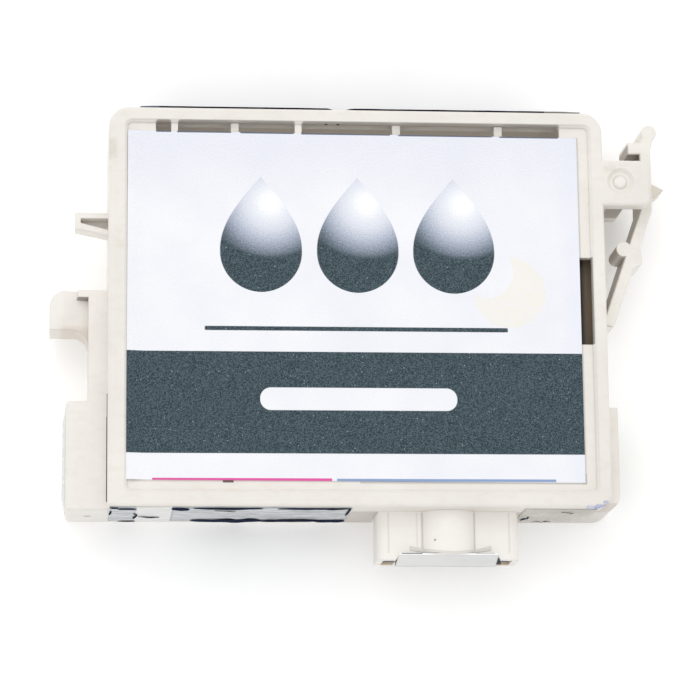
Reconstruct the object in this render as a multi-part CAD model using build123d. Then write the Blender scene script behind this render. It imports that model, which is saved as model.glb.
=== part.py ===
from build123d import *
import os

# A flat ink cartridge that lies on its back with its label face up.
# X runs along the long side, Y runs from the ink outlet to the top side, Z points out of the label face.
# The origin is the middle of the case outline on the rear face, which is the resting plane. Sizes are in mm.

# Case
case_length = 62.0
case_height = 50.4
case_depth = 8.8
case_wall = 1.6
back_plate = 1.6
rib = 1.0
corner_top = 2.5
corner_low_right = 2.0
corner_low_left = 0.6
least_corner = 0.3
right_side = case_length / 2
left_side = -case_length / 2
top_side = case_height / 2
outlet_side = -case_height / 2

# Open pockets under the top windows, and the ink chambers below them
pocket_height = 4.7
pocket_ribs = [left_side + 15.7, right_side - 26.0, right_side - 13.1]
chamber_ribs = [left_side + 19.0, right_side - 25.6]
flow_gap = 1.8
flow_gap_depth = 1.4
pocket_floor = top_side - case_wall - pocket_height
chamber_top = pocket_floor - rib

# Cover
cover_depth = 3.6
cover_skirt = 0.95
cover_plate = 1.2
label_recess = 0.6
rim_left = 2.34
rim_right = 1.8
rim_top = 1.9
rim_bottom = 2.1
recess_corner = 0.6
cover_edge_round = 0.45
recess_edge_chamfer = 0.35
front = case_depth + cover_depth
recess_floor = front - label_recess
plate_under = recess_floor - cover_plate
recess_left = left_side + rim_left
recess_right = right_side - rim_right
recess_top = top_side - rim_top
recess_bottom = outlet_side + rim_bottom

# Windows of the cover
window_height = 3.4
window_starts = [left_side + 5.85, left_side + 8.6, left_side + 24.05]
window_ends = [left_side + 7.75, left_side + 23.2, right_side - 5.4]
window_corner = 0.35
window_rib_drop = 0.5
window_rib_gap = 0.1
side_window_width = 2.9
side_window_y = 0.95
side_window_height = 11.1
notch_x = left_side + 14.7
notch_width = 1.3
notch_height = 2.2
notch_shows = 0.35

# Lug of the cover, and the post of the case that it is staked to
lug_reach = 5.95
lug_low = top_side - 12.0
lug_high = top_side - 6.1
lug_thickness = 2.0
lug_chamfer = 1.15
lug_round = 1.0
post_reach = 3.4
post_low = lug_low + 1.0
post_high = lug_high - 0.9
dimple_x = right_side + 2.2
dimple_y = lug_low + 3.1
dimple_radius = 1.7
dimple_floor_radius = 1.3
dimple_depth = 0.45
stake_radius = 0.85
stake_rise = 0.3
stake_chamfer = 0.25
stake_clearance = 0.02

# Front label and the films
label_thickness = 0.12
label_gap_left = 0.16
label_gap_right = 1.45
label_gap_top = 1.3
label_gap_bottom = 1.3
film_thickness = 0.12
film_land = 0.55

# Middle of the pressure regulator, the rib below it, and the middle of the ink outlet
regulator_x = right_side - 13.8
regulator_y = chamber_top - 11.3
cross_rib_y = regulator_y - 12.6
outlet_x = right_side - 20.0
outlet_z = case_depth - 1.8

# Rear face: an angled recess with the winding air groove and the ink groove in it
rear_recess = 0.4
recess_x0 = left_side + 4.0
recess_x1 = right_side - 7.5
recess_step = regulator_x - 4.7
recess_y0 = outlet_side + 5.2
recess_y1 = recess_y0 + 17.0
recess_y2 = regulator_y + 3.9
rear_corner = 1.5
groove_depth = 0.5
groove_width = 0.9
groove_pitch = 2.6
groove_turns = 5
groove_left = recess_x0 + 3.0
groove_right = chamber_ribs[-1] - 3.4
groove_low = recess_y0 + 3.0
ink_groove_low = recess_y0 + 4.0
ink_hole = 0.6
air_link_hole = 0.4

# Pressure regulator
regulator_radius = 7.0
ledge_width = 1.3
ledge_height = 1.3
seat_radius = 1.3
seat_bore = 0.45
seat_height = 1.0
membrane_rim = 1.1
membrane_web = 0.4
membrane_fold = 0.7
membrane_fold_half = 0.85
button_radius = 1.8
button_height = 1.0
cap_skirt = 1.4
cap_plate = 1.1
cap_hole = 0.7
cap_hole_offset = 4.0
cap_hole_count = 4
regulator_coil = 1.35
regulator_wire = 0.13
regulator_turns = 4
fit_gap = 0.05

# Springs
coil_step_count = 10
wire_side_count = 5

# Ink outlet
outlet_reach = 5.25
outlet_radius = 3.7
outlet_bore = 2.6
wing_half = 8.82
wing_depth = 5.0
wing_wall = 0.8
wing_round = 1.2
leg_reach = 0.75
leg_width = 2.3
leg_slope = 0.6
inner_bore = 1.5
inner_bore_length = 5.4
boss_half = 3.4
boss_length = 5.6
outlet_end = outlet_side - outlet_reach
bore_shoulder = outlet_side - 0.4

# Ink outlet's inner pieces
seal_length = 2.0
seal_hole = 1.3
seal_funnel = 1.0
poppet_radius = 2.1
poppet_head = 1.0
poppet_stem_radius = 0.6
poppet_stem = 2.6
outlet_coil = 1.05
outlet_wire = 0.15
filter_radius = 1.65
filter_thickness = 0.25
filter_hole = 0.9
outlet_turns = 6

# Film that seals the outlet, with a flap on the front and a bulge that stands off the end
seal_film_left = outlet_x - 6.3
seal_film_right = outlet_x + 5.9
seal_film_flap = 0.9
seal_film_out = 1.25
seal_film_fold = 0.88
seal_film_drop = 2.5
seal_film_foot = outlet_z - 3.4

# Left bracket: strip, hook and air valve block
block_reach = 5.1
block_top = outlet_side + 13.7
hook_reach = 7.17
hook_depth = 5.9
hook_set_back = 0.5
hook_bottom = block_top + 9.1
hook_top = hook_bottom + 4.85
strip_reach = 2.4
strip_top = hook_top
strip_lip = 0.85
strip_lip_reach = 1.3
hook_corner = 1.9
hook_root = 1.95
hook_ridge = 1.7
hook_ridge_drop = 0.35
hook_fall = 1.0
bracket_corner = 0.5
bracket_edge = 0.25

# Wedge on the left side
wedge_reach = 4.1
wedge_top = top_side - 12.85
wedge_tip_low = wedge_top - 2.0
wedge_root_low = wedge_top - 2.85
wedge_depth = 2.8
wedge_pocket = 2.0
wedge_wall = 0.7

# Air valve
air_x = left_side - 2.4
air_z = case_depth / 2
air_bore = 1.6
air_floor = 1.4
air_roof = outlet_side + 8.8
air_hole = 0.5
air_seal = 0.8
air_head_radius = 1.35
air_head = 0.9
air_stem_radius = 0.5
air_stem = 3.9
air_tip_radius = 0.4
air_tip_recess = 0.2
air_coil = 0.85
air_wire = 0.13
air_turns = 6
air_film_thickness = 0.2
air_film_margin = 0.6
vent_low = air_roof + 0.8
vent_high = vent_low + 2.8
vent_width = 4.0
vent_depth = 1.4
vent_duct = 0.5
vent_sheet = 0.3

# Guard on the right, with the memory board
guard_reach = 1.6
guard_top = outlet_side + 13.2
guard_corner = 2.3
guard_overlap = 2.0
board_length = 9.6
board_width = case_depth - 2.6
board_thickness = 0.6
board_y = outlet_side + 7.4
board_z = case_depth / 2
board_gap = 0.06
board_stake = 0.5
board_stake_rise = 0.15
board_stake_offset = 3.9
pad_row_offset = 1.15
low_row_count = 4
high_row_count = 5
pad_pitch = 1.35
pad_width = 0.95
pad_height = 1.5
pad_thickness = 0.06
chip_length = 2.8
chip_width = 2.2
chip_thickness = 0.5
chip_gap = 0.1

# Latch lever
lever_back = 2.9
lever_depth = case_depth - lever_back
lever_thickness = 1.42
hinge_x = right_side + 1.0
hinge_y = top_side - 26.1
hinge_gap = 0.05
gusset_step = 0.35
gusset_drop = 0.85
gusset_length = 1.8
bend_x = hinge_x + 5.1
bend_y = hinge_y + 14.5
neck_y = hinge_y + 22.3
bulb_x = bend_x + 0.55
bulb_y = neck_y + 2.3
bulb_radius = 1.0
finger_left = bend_x - 2.25
finger_low = neck_y - 0.5
finger_high = finger_low + 1.5
pin_x = hinge_x + 2.02
pin_y = hinge_y + 9.33
pin_radius = 0.95
step_root_x = hinge_x + 2.85
step_tip_x = hinge_x + 4.37
step_tip_y = hinge_y + 7.65
step_high_y = hinge_y + 9.4
step_low_y = hinge_y + 6.6
tooth_reach = 1.65
tooth_low = bend_y + 1.4
tooth_tip = bend_y + 2.8
tooth_high = bend_y + 3.6
tooth_inset = 0.8
lever_edge = 0.12

# Labels and films on the edges
top_label_left = left_side + 4.5
top_label_right = right_side - 6.4
top_label_margin = 0.5
channel_film_left = left_side + 0.7
channel_film_right = outlet_x - 12.0
port_film_left = outlet_x + wing_half + 0.38
port_film_right = right_side - 2.6
port_film_top = case_depth + 1.0
edge_film_margin = 0.8


def block(x0, x1, y0, y1, z0, z1):
    """A box between two corners."""
    middle = Pos((x0 + x1) / 2, (y0 + y1) / 2, (z0 + z1) / 2)
    return middle * Box(x1 - x0, y1 - y0, z1 - z0)


def bar_x(y, z, radius, x0, x1):
    """A round bar along X."""
    return Pos((x0 + x1) / 2, y, z) * Rot(0, 90, 0) * Cylinder(radius, x1 - x0)


def bar_y(x, z, radius, y0, y1):
    """A round bar along Y."""
    return Pos(x, (y0 + y1) / 2, z) * Rot(90, 0, 0) * Cylinder(radius, y1 - y0)


def bar_z(x, y, radius, z0, z1):
    """A round bar along Z."""
    return Pos(x, y, (z0 + z1) / 2) * Cylinder(radius, z1 - z0)


def plate(points, z0, z1):
    """A straight-sided outline given thickness along Z."""
    return extrude(Pos(0, 0, z0) * make_face(Polyline(*points, close=True)), z1 - z0)


def side_plate(points, y0, y1):
    """An outline in X and Z given thickness along Y."""
    face = make_face(Polyline(*[(x, y0, z) for x, z in points], close=True))
    return extrude(face, y1 - y0, dir=(0, 1, 0))


def rounded_slab(x0, x1, y0, y1, z0, z1, radius):
    """A flat slab with rounded corners."""
    face = Pos((x0 + x1) / 2, (y0 + y1) / 2, z0) * RectangleRounded(x1 - x0, y1 - y0, radius)
    return extrude(face, z1 - z0)


def case_outline(inset=0.0):
    """The case seen from the front, with its four corners."""
    half_x = case_length / 2 - inset
    half_y = case_height / 2 - inset
    face = Rectangle(2 * half_x, 2 * half_y)
    corners = [
        (-half_x, half_y, corner_top),
        (half_x, half_y, corner_top),
        (half_x, -half_y, corner_low_right),
        (-half_x, -half_y, corner_low_left),
    ]
    for x, y, radius in corners:
        corner = face.vertices().sort_by_distance(Vector(x, y, 0))[0]
        face = fillet(corner, max(radius - inset, least_corner))
    return face


def case_slab(z0, z1, inset=0.0):
    """The case outline given thickness."""
    return extrude(Pos(0, 0, z0) * case_outline(inset), z1 - z0)


def coil(radius, wire, length, turns):
    """A compression spring that stands on the origin and rises along Z, its wire drawn with few sides."""
    rise = length - 2 * wire
    steps = turns * coil_step_count
    spiral = Helix(pitch=rise / turns, height=rise, radius=radius)
    path = Polyline(*[spiral @ (step / steps) for step in range(steps + 1)])
    start = Plane(origin=path @ 0, z_dir=path % 0)
    wire_face = start * RegularPolygon(wire, wire_side_count)
    return Pos(0, 0, wire) * sweep(wire_face, path=path, transition=Transition.RIGHT)


def ring(outer, inner, z0, z1):
    """A flat ring about the Z axis through the origin."""
    return Pos(0, 0, (z0 + z1) / 2) * (Cylinder(outer, z1 - z0) - Cylinder(inner, z1 - z0))


# Levels of the regulator's stack, from the floor of the case up
ledge_top = back_plate + ledge_height
seat_top = back_plate + seat_height
rim_top_z = ledge_top + membrane_rim
button_top = seat_top + button_height
cap_under = rim_top_z + cap_skirt
cap_top = cap_under + cap_plate


def inner_wall(x0, x1, y0, y1):
    """A wall that stands on the back plate and ends level with the case's front."""
    return block(x0, x1, y0, y1, back_plate / 2, case_depth)


def case_ribs():
    """Inner walls: the divider under the top pockets, the pocket ribs and the chamber walls."""
    half = rib / 2
    low = outlet_side + case_wall / 2
    right = right_side - case_wall / 2
    ribs = inner_wall(-right, right, chamber_top, pocket_floor)
    window_low = recess_top - window_height + window_rib_gap
    window_high = top_side - case_wall - window_rib_gap
    for x in pocket_ribs:
        ribs += inner_wall(x - half, x + half, pocket_floor - half, top_side - case_wall / 2)
        ribs += block(x - half, x + half, window_low, window_high, back_plate, recess_floor - window_rib_drop)
    for x in chamber_ribs:
        ribs += inner_wall(x - half, x + half, low, chamber_top + half)
        start = outlet_side + case_wall
        ribs -= block(x - rib, x + rib, start, start + flow_gap, back_plate, back_plate + flow_gap_depth)
    ribs += inner_wall(chamber_ribs[-1], right, cross_rib_y - half, cross_rib_y + half)
    return ribs


def regulator_housing():
    """The round wall, the ledge for the membrane and the nozzle that its button closes."""
    wall = ring(regulator_radius + rib, regulator_radius, back_plate / 2, case_depth)
    ledge = ring(regulator_radius + rib / 2, regulator_radius - ledge_width, back_plate / 2, ledge_top)
    seat = Pos(0, 0, (back_plate / 2 + seat_top) / 2) * Cylinder(seat_radius, seat_top - back_plate / 2)
    place = Pos(regulator_x, regulator_y, 0)
    link_low = regulator_y + regulator_radius + rib / 2
    link = inner_wall(regulator_x - rib / 2, regulator_x + rib / 2, link_low, chamber_top + rib / 2)
    return place * (wall + ledge + seat) + link


def regulator_ports():
    """The nozzle's hole to the rear channel and the notch that lets ink into the round wall."""
    nozzle = bar_z(regulator_x, regulator_y, seat_bore, 0, seat_top + rib)
    left = regulator_x - flow_gap / 2
    right = regulator_x + flow_gap / 2
    low = regulator_y - regulator_radius - 2 * rib
    high = regulator_y - regulator_radius + rib
    entry = block(left, right, low, high, case_depth - flow_gap_depth, case_depth)
    return nozzle + entry


def outlet_housing():
    """Wings with two short legs, and the outlet's barrel through their middle."""
    top = case_depth
    low = case_depth - wing_depth
    left = outlet_x - wing_half
    right = outlet_x + wing_half
    wings = block(left, right, outlet_end, outlet_side + case_wall / 2, low, top)
    leg_end = outlet_end - leg_reach
    for side in (-1, 1):
        outer = outlet_x + side * wing_half
        inner = outer - side * leg_width
        foot = [
            (outer, outlet_end + leg_reach),
            (outer, leg_end),
            (inner, leg_end),
            (inner - side * leg_slope, outlet_end),
            (inner - side * leg_slope, outlet_end + leg_reach),
        ]
        wings += plate(foot, low, top)
    corners = wings.edges().filter_by(Axis.Y)
    fronts = corners.group_by(Axis.Z)[-1]
    outer_edges = [fronts.sort_by(Axis.X)[0], fronts.sort_by(Axis.X)[-1]]
    wings = fillet(outer_edges, wing_round)
    pockets = None
    for side in (-1, 1):
        outer = outlet_x + side * (wing_half - wing_wall)
        inner = outlet_x + side * (outlet_radius + wing_wall / 2)
        x0 = min(outer, inner)
        x1 = max(outer, inner)
        pocket = block(x0, x1, leg_end, outlet_side - wing_wall, low + wing_wall, top - wing_wall)
        pockets = pocket if pockets is None else pockets + pocket
    barrel = bar_y(outlet_x, outlet_z, outlet_radius, outlet_end, outlet_side)
    return wings - pockets + barrel


def outlet_boss():
    """The block inside the case that carries the poppet's spring."""
    low = outlet_side + case_wall / 2
    high = outlet_side + case_wall + boss_length
    return inner_wall(outlet_x - boss_half, outlet_x + boss_half, low, high)


def outlet_bores():
    """The wide bore for seal and poppet, the spring's bore and the hole behind the filter."""
    inner_end = bore_shoulder + inner_bore_length
    wide = bar_y(outlet_x, outlet_z, outlet_bore, outlet_end, bore_shoulder)
    narrow = bar_y(outlet_x, outlet_z, inner_bore, bore_shoulder - rib, inner_end)
    last = bar_y(outlet_x, outlet_z, filter_hole, inner_end - rib, outlet_side + 2 * boss_length)
    return wide + narrow + last


def hook():
    """The hook that hangs from the strip: a round corner, a front that falls from a ridge, and a round root."""
    left = left_side - hook_reach
    strip = left_side - strip_reach
    ridge = left + hook_ridge
    top_z = case_depth - hook_set_back
    low_z = top_z - hook_depth
    body = block(left, strip, hook_bottom, hook_top, low_z, top_z)
    corner = body.edges().filter_by(Axis.Z).sort_by_distance(Vector(left, hook_top, top_z))[0]
    body = fillet(corner, hook_corner)
    root = block(strip - hook_root, strip, hook_bottom - hook_root, hook_bottom, low_z, top_z)
    root -= bar_z(strip - hook_root, hook_bottom - hook_root, hook_root, low_z, top_z)
    front_face = [
        (left, low_z),
        (strip, low_z),
        (strip, top_z - hook_fall),
        (ridge, top_z),
        (left, top_z - hook_ridge_drop),
    ]
    return (body + root) & side_plate(front_face, hook_bottom - hook_root, hook_top)


def left_bracket():
    """Strip, block and hook on the left of the case."""
    edge = left_side + case_wall / 2
    strip_left = left_side - strip_reach
    block_left = left_side - block_reach
    outline = [
        (edge, outlet_side),
        (block_left, outlet_side),
        (block_left, block_top),
        (strip_left, block_top),
        (strip_left, strip_top),
        (edge, strip_top),
    ]
    bracket = plate(outline, 0, case_depth)
    uprights = bracket.edges().filter_by(Axis.Z).group_by(Axis.X)
    bracket = fillet(uprights[0], bracket_corner)
    bracket = chamfer(bracket.faces().sort_by(Axis.Z)[-1].edges().group_by(Axis.X)[0], bracket_edge)
    lip = block(
        strip_left - strip_lip_reach,
        strip_left,
        strip_top - strip_lip,
        strip_top,
        case_depth - hook_set_back - hook_depth,
        case_depth,
    )
    return bracket + lip + hook()


def air_passages():
    """Bore of the air valve with its open side, its entry hole, the vent pocket and the duct to the chamber."""
    floor = outlet_side + air_floor
    block_left = left_side - block_reach
    bore = bar_y(air_x, air_z, air_bore, floor, air_roof)
    bore += block(block_left, air_x, floor, air_roof, air_z - air_bore, air_z + air_bore)
    bore += bar_y(air_x, air_z, air_hole, outlet_side, floor + rib)
    vent_z = air_z - vent_width / 2
    vent = block(block_left, block_left + vent_depth, vent_low, vent_high, vent_z, vent_z + vent_width)
    vent_middle = (vent_low + vent_high) / 2
    duct = bar_x(vent_middle, air_z, vent_duct, block_left, left_side + 2 * case_wall)
    link = bar_y(block_left + vent_depth - vent_duct, air_z, vent_duct, air_roof - rib, vent_low + rib)
    return bore + vent + duct + link


def wedge():
    """The hollow guide wedge on the left side."""
    edge = left_side + case_wall / 2
    tip = left_side - wedge_reach
    outline = [
        (edge, wedge_top),
        (tip, wedge_top),
        (tip, wedge_tip_low),
        (left_side, wedge_root_low),
        (edge, wedge_root_low),
    ]
    hollow = [
        (left_side, wedge_top - wedge_wall),
        (tip + wedge_wall, wedge_top - wedge_wall),
        (tip + wedge_wall, wedge_tip_low + wedge_wall),
        (left_side, wedge_root_low + wedge_wall),
    ]
    body = plate(outline, case_depth - wedge_depth, case_depth)
    return body - plate(hollow, case_depth - wedge_pocket, case_depth)


def guard():
    """The raised pad that wraps the low right corner and carries the memory board."""
    left = right_side - guard_overlap
    right = right_side + guard_reach
    pad = block(left, right, outlet_side, guard_top, 0, case_depth)
    corner = pad.edges().filter_by(Axis.Z).sort_by_distance(Vector(right, outlet_side, 0))[0]
    pad = fillet(corner, guard_corner)
    return pad


def board_block(x0, x1, half_length, half_width):
    """A box about the middle of the memory board."""
    y0 = board_y - half_length
    z0 = board_z - half_width
    return block(x0, x1, y0, y0 + 2 * half_length, z0, z0 + 2 * half_width)


def board_seat():
    """The recess for the board, and the deeper one for its chip."""
    right = right_side + guard_reach
    bed = right - board_thickness
    half_length = board_length / 2 + board_gap
    half_width = board_width / 2 + board_gap
    seat = board_block(bed, right, half_length, half_width)
    deep_length = chip_length / 2 + chip_gap
    deep_width = chip_width / 2 + chip_gap
    return seat + board_block(bed - chip_thickness - chip_gap, bed, deep_length, deep_width)


def board_stakes(radius, x0, x1):
    """Two round bars where the board is located."""
    bars = bar_x(board_y + board_stake_offset, board_z, radius, x0, x1)
    bars += bar_x(board_y - board_stake_offset, board_z, radius, x0, x1)
    return bars


def lever_root():
    """The gusset on the right wall that the lever's round end sits in."""
    edge = right_side - case_wall / 2
    outline = [
        (edge, hinge_y + lever_thickness / 2),
        (right_side + gusset_step, hinge_y + gusset_step),
        (hinge_x, hinge_y),
        (hinge_x + gusset_step, hinge_y - gusset_drop),
        (right_side, hinge_y - gusset_length),
        (edge, hinge_y - gusset_length),
    ]
    gusset = plate(outline, lever_back, case_depth)
    socket = bar_z(hinge_x, hinge_y, lever_thickness / 2 + hinge_gap, lever_back, case_depth)
    return gusset - socket


def rear_field(margin=0.0):
    """The outline of the angled recess, or of a sheet that lies in it with a margin."""
    wide = [recess_x0 + margin, recess_x1 - margin, recess_y0 + margin, recess_y1 - margin]
    tall = [recess_step + margin, recess_x1 - margin, recess_y0 + margin, recess_y2 - margin]
    face = None
    for x0, x1, y0, y1 in (wide, tall):
        part = Pos((x0 + x1) / 2, (y0 + y1) / 2) * RectangleRounded(x1 - x0, y1 - y0, rear_corner)
        face = part if face is None else face + part
    return face


def rear_channel():
    """The recess of the rear face, the winding air groove and the ink groove from the regulator's nozzle."""
    recess = extrude(rear_field(), rear_recess)
    points = []
    for turn in range(groove_turns):
        y = groove_low + turn * groove_pitch
        ends = [(groove_left, y), (groove_right, y)]
        if turn % 2:
            ends.reverse()
        points += ends
    winding = trace(Polyline(*points), groove_width)
    straight = trace(Line((regulator_x, regulator_y), (regulator_x, ink_groove_low)), groove_width)
    grooves = extrude(Pos(0, 0, rear_recess) * (winding + straight), groove_depth)
    holes = bar_z(regulator_x, ink_groove_low, ink_hole, rear_recess, back_plate)
    for x, y in (points[0], points[-1]):
        holes += bar_z(x, y, air_link_hole, rear_recess, back_plate)
    return recess + grooves + holes


def stake():
    """The round head on the post that holds the cover's lug."""
    head = bar_z(dimple_x, dimple_y, stake_radius, case_depth, front - dimple_depth + stake_rise)
    return chamfer(head.faces().sort_by(Axis.Z)[-1].edges(), stake_chamfer)


def case():
    """The moulded container with everything that is one piece with it."""
    body = case_slab(0, case_depth)
    body -= case_slab(back_plate, case_depth, inset=case_wall)
    body += case_ribs()
    body += regulator_housing()
    body += outlet_boss()
    body += outlet_housing()
    body += left_bracket()
    body += wedge()
    body += guard()
    body += lever_root()
    post_right = right_side + post_reach
    post = block(right_side - case_wall / 2, post_right, post_low, post_high, 0, case_depth)
    body += post + stake()
    body -= board_seat()
    pad_face = right_side + guard_reach
    body += board_stakes(board_stake, pad_face - board_thickness - case_wall / 4, pad_face + board_stake_rise)
    body -= regulator_ports()
    body -= outlet_bores()
    body -= air_passages()
    body -= rear_channel()
    return body


def cover():
    """The lid with its rim, the recess for the label, the windows and the staked lug."""
    lid = case_slab(case_depth, front)
    lug_right = right_side + lug_reach
    lug = block(right_side - rim_right, lug_right, lug_low, lug_high, front - lug_thickness, front)
    uprights = lug.edges().filter_by(Axis.Z)
    lug = chamfer(uprights.sort_by_distance(Vector(lug_right, lug_high, front))[0], lug_chamfer)
    uprights = lug.edges().filter_by(Axis.Z)
    lug = fillet(uprights.sort_by_distance(Vector(lug_right, lug_low, front))[0], lug_round)
    lid += lug
    lid = fillet(lid.faces().sort_by(Axis.Z)[-1].edges(), cover_edge_round)
    post_right = right_side + post_reach
    lid += block(right_side - rim_right, post_right, post_low, post_high, case_depth, front - lug_thickness / 2)
    lid -= rounded_slab(recess_left, recess_right, recess_bottom, recess_top, recess_floor, front, recess_corner)
    lid = chamfer(lid.faces().sort_by(Axis.Z)[-1].inner_wires()[0].edges(), recess_edge_chamfer)
    lid -= case_slab(case_depth, plate_under, inset=cover_skirt)
    lid -= cover_windows()
    dish = Cone(dimple_floor_radius, dimple_radius, dimple_depth)
    lid -= Pos(dimple_x, dimple_y, front - dimple_depth / 2) * dish
    lid -= bar_z(dimple_x, dimple_y, stake_radius + stake_clearance, case_depth, front)
    return lid


def cover_windows():
    """The three slots along the top, the slot at the right and the small notch at the bottom."""
    low = recess_top - window_height
    high = top_side - case_wall
    cuts = None
    for x0, x1 in zip(window_starts, window_ends):
        cut = rounded_slab(x0, x1, low, high, plate_under, front, window_corner)
        cuts = cut if cuts is None else cuts + cut
    side = right_side - case_wall
    middle = Pos(0, side_window_y, 0)
    half = side_window_height / 2
    cuts += middle * block(side - side_window_width, side, -half, half, plate_under, front)
    left = notch_x - notch_width / 2
    bottom = recess_bottom + label_gap_bottom - notch_shows
    cuts += block(left, left + notch_width, bottom, bottom + notch_height, plate_under, recess_floor)
    return cuts


def front_label():
    """The paper label in the cover's recess."""
    return block(
        recess_left + label_gap_left,
        recess_right - label_gap_right,
        recess_bottom + label_gap_bottom,
        recess_top - label_gap_top,
        recess_floor,
        recess_floor + label_thickness,
    )


def chamber_film():
    """The film that is welded over the ink chambers."""
    land = case_wall - film_land
    film = case_slab(case_depth, case_depth + film_thickness, inset=land)
    over = block(left_side, right_side, pocket_floor, top_side, case_depth, case_depth + film_thickness)
    return film - over


def rear_film():
    """The film that closes the grooves, laid in the rear recess."""
    return extrude(Pos(0, 0, rear_recess - film_thickness) * rear_field(fit_gap), film_thickness)


def channel_film():
    """The glossy film on the left half of the outlet side."""
    return block(
        channel_film_left,
        channel_film_right,
        outlet_side - film_thickness,
        outlet_side,
        edge_film_margin,
        front - edge_film_margin,
    )


def port_side_film():
    """The wrinkled film to the right of the outlet."""
    low = outlet_side - film_thickness
    return block(port_film_left, port_film_right, low, outlet_side, edge_film_margin, port_film_top)


def top_label():
    """The dark label strip on the top side."""
    return block(
        top_label_left,
        top_label_right,
        top_side,
        top_side + label_thickness,
        top_label_margin,
        front - top_label_margin,
    )


def outlet_seal():
    """The rubber ring that the printer's needle goes through."""
    inner_face = outlet_end + seal_length
    body = bar_y(outlet_x, outlet_z, outlet_bore - fit_gap, outlet_end, inner_face)
    funnel = Rot(90, 0, 0) * Cone(seal_hole, seal_hole + seal_funnel / 2, seal_funnel)
    body -= Pos(outlet_x, outlet_end + seal_funnel / 2, outlet_z) * funnel
    return body - bar_y(outlet_x, outlet_z, seal_hole, outlet_end, inner_face)


def outlet_poppet():
    """The valve head that rests on the seal, with the stem that guides its spring."""
    low = outlet_end + seal_length
    head = bar_y(outlet_x, outlet_z, poppet_radius, low, low + poppet_head)
    head = chamfer(head.edges().sort_by(Axis.Y)[0], poppet_head / 4)
    high = low + poppet_head + poppet_stem
    return head + bar_y(outlet_x, outlet_z, poppet_stem_radius, low + poppet_head / 2, high)


def outlet_spring():
    """The spring between the poppet's head and the end of the narrow bore."""
    low = outlet_end + seal_length + poppet_head
    high = bore_shoulder + inner_bore_length
    return Pos(outlet_x, low, outlet_z) * Rot(-90, 0, 0) * coil(outlet_coil, outlet_wire, high - low, outlet_turns)


def ink_filter():
    """The woven disc on the inner end of the outlet's boss."""
    low = outlet_side + case_wall + boss_length
    return bar_y(outlet_x, outlet_z, filter_radius, low, low + filter_thickness)


def outlet_film():
    """The film that closes the outlet: a flap on the front, a bulge past the end and a foot on the end face."""
    crest = outlet_z + outlet_radius
    line = Polyline(
        (outlet_end + seal_film_flap, crest + film_thickness),
        (outlet_end - film_thickness, crest + film_thickness),
        (outlet_end - seal_film_out, crest - seal_film_drop),
        (outlet_end - seal_film_fold, (crest - seal_film_drop + seal_film_foot) / 2),
        (outlet_end - film_thickness, seal_film_foot),
        (outlet_end - film_thickness, seal_film_foot - 3 * film_thickness),
    )
    strip = trace(line, film_thickness)
    sheet = Pos(seal_film_left, 0, 0) * extrude(Plane.YZ * strip, seal_film_right - seal_film_left)
    for side in (-1, 1):
        inner = outlet_x + side * (wing_half - leg_width - leg_slope - fit_gap)
        outer = outlet_x + side * wing_half
        x0 = min(inner, outer)
        x1 = max(inner, outer)
        sheet -= block(x0, x1, outlet_end - leg_reach - fit_gap, outlet_end, 0, case_depth + fit_gap)
    return sheet


def regulator_membrane():
    """The rubber membrane: a thick rim, a folded web and the button that closes the nozzle."""
    outer = regulator_radius - fit_gap
    inner = regulator_radius - ledge_width + fit_gap
    web_low = button_top - membrane_web
    fold_low = web_low + membrane_fold
    fold_middle = (inner + button_radius) / 2
    profile = [
        (0, seat_top),
        (button_radius, seat_top),
        (button_radius, web_low),
        (fold_middle - membrane_fold_half, web_low),
        (fold_middle, fold_low),
        (fold_middle + membrane_fold_half, web_low),
        (inner, ledge_top),
        (outer, ledge_top),
        (outer, rim_top_z),
        (inner, rim_top_z),
        (fold_middle + membrane_fold_half, button_top),
        (fold_middle, fold_low + membrane_web),
        (fold_middle - membrane_fold_half, button_top),
        (0, button_top),
    ]
    turned = revolve(Plane.XZ * make_face(Polyline(*profile, close=True)), Axis.Z)
    return Pos(regulator_x, regulator_y, 0) * turned


def regulator_spring():
    """The spring that holds the button on its nozzle."""
    spring = coil(regulator_coil, regulator_wire, cap_under - button_top, regulator_turns)
    return Pos(regulator_x, regulator_y, button_top) * spring


def regulator_cap():
    """The cap that clamps the membrane's rim and carries the spring."""
    outer = regulator_radius - fit_gap
    inner = regulator_radius - ledge_width + fit_gap
    body = ring(outer, inner, rim_top_z, cap_under)
    body += Pos(0, 0, (cap_under + cap_top) / 2) * Cylinder(outer, cap_plate)
    body += Pos(0, 0, cap_under - cap_plate / 4) * Cylinder(regulator_coil - 3 * regulator_wire, cap_plate / 2)
    for place in PolarLocations(cap_hole_offset, cap_hole_count):
        body -= place * Pos(0, 0, cap_under + cap_plate / 2) * Cylinder(cap_hole, 2 * cap_plate)
    return Pos(regulator_x, regulator_y, 0) * body


def air_valve_seal():
    """The rubber ring at the bottom of the air valve's bore."""
    low = outlet_side + air_floor
    body = bar_y(air_x, air_z, air_bore - fit_gap, low, low + air_seal)
    return body - bar_y(air_x, air_z, air_hole + fit_gap, low, low + air_seal)


def air_valve_poppet():
    """The air valve's plunger: head on the seal, tip in the entry hole, stem for the spring."""
    low = outlet_side + air_floor + air_seal
    body = bar_y(air_x, air_z, air_head_radius, low, low + air_head)
    body += bar_y(air_x, air_z, air_stem_radius, low + air_head / 2, low + air_head + air_stem)
    body += bar_y(air_x, air_z, air_tip_radius, outlet_side + air_tip_recess, low + air_head / 2)
    return body


def air_valve_spring():
    """The spring above the air valve's head."""
    low = outlet_side + air_floor + air_seal + air_head
    return Pos(air_x, low, air_z) * Rot(-90, 0, 0) * coil(air_coil, air_wire, air_roof - low, air_turns)


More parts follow.
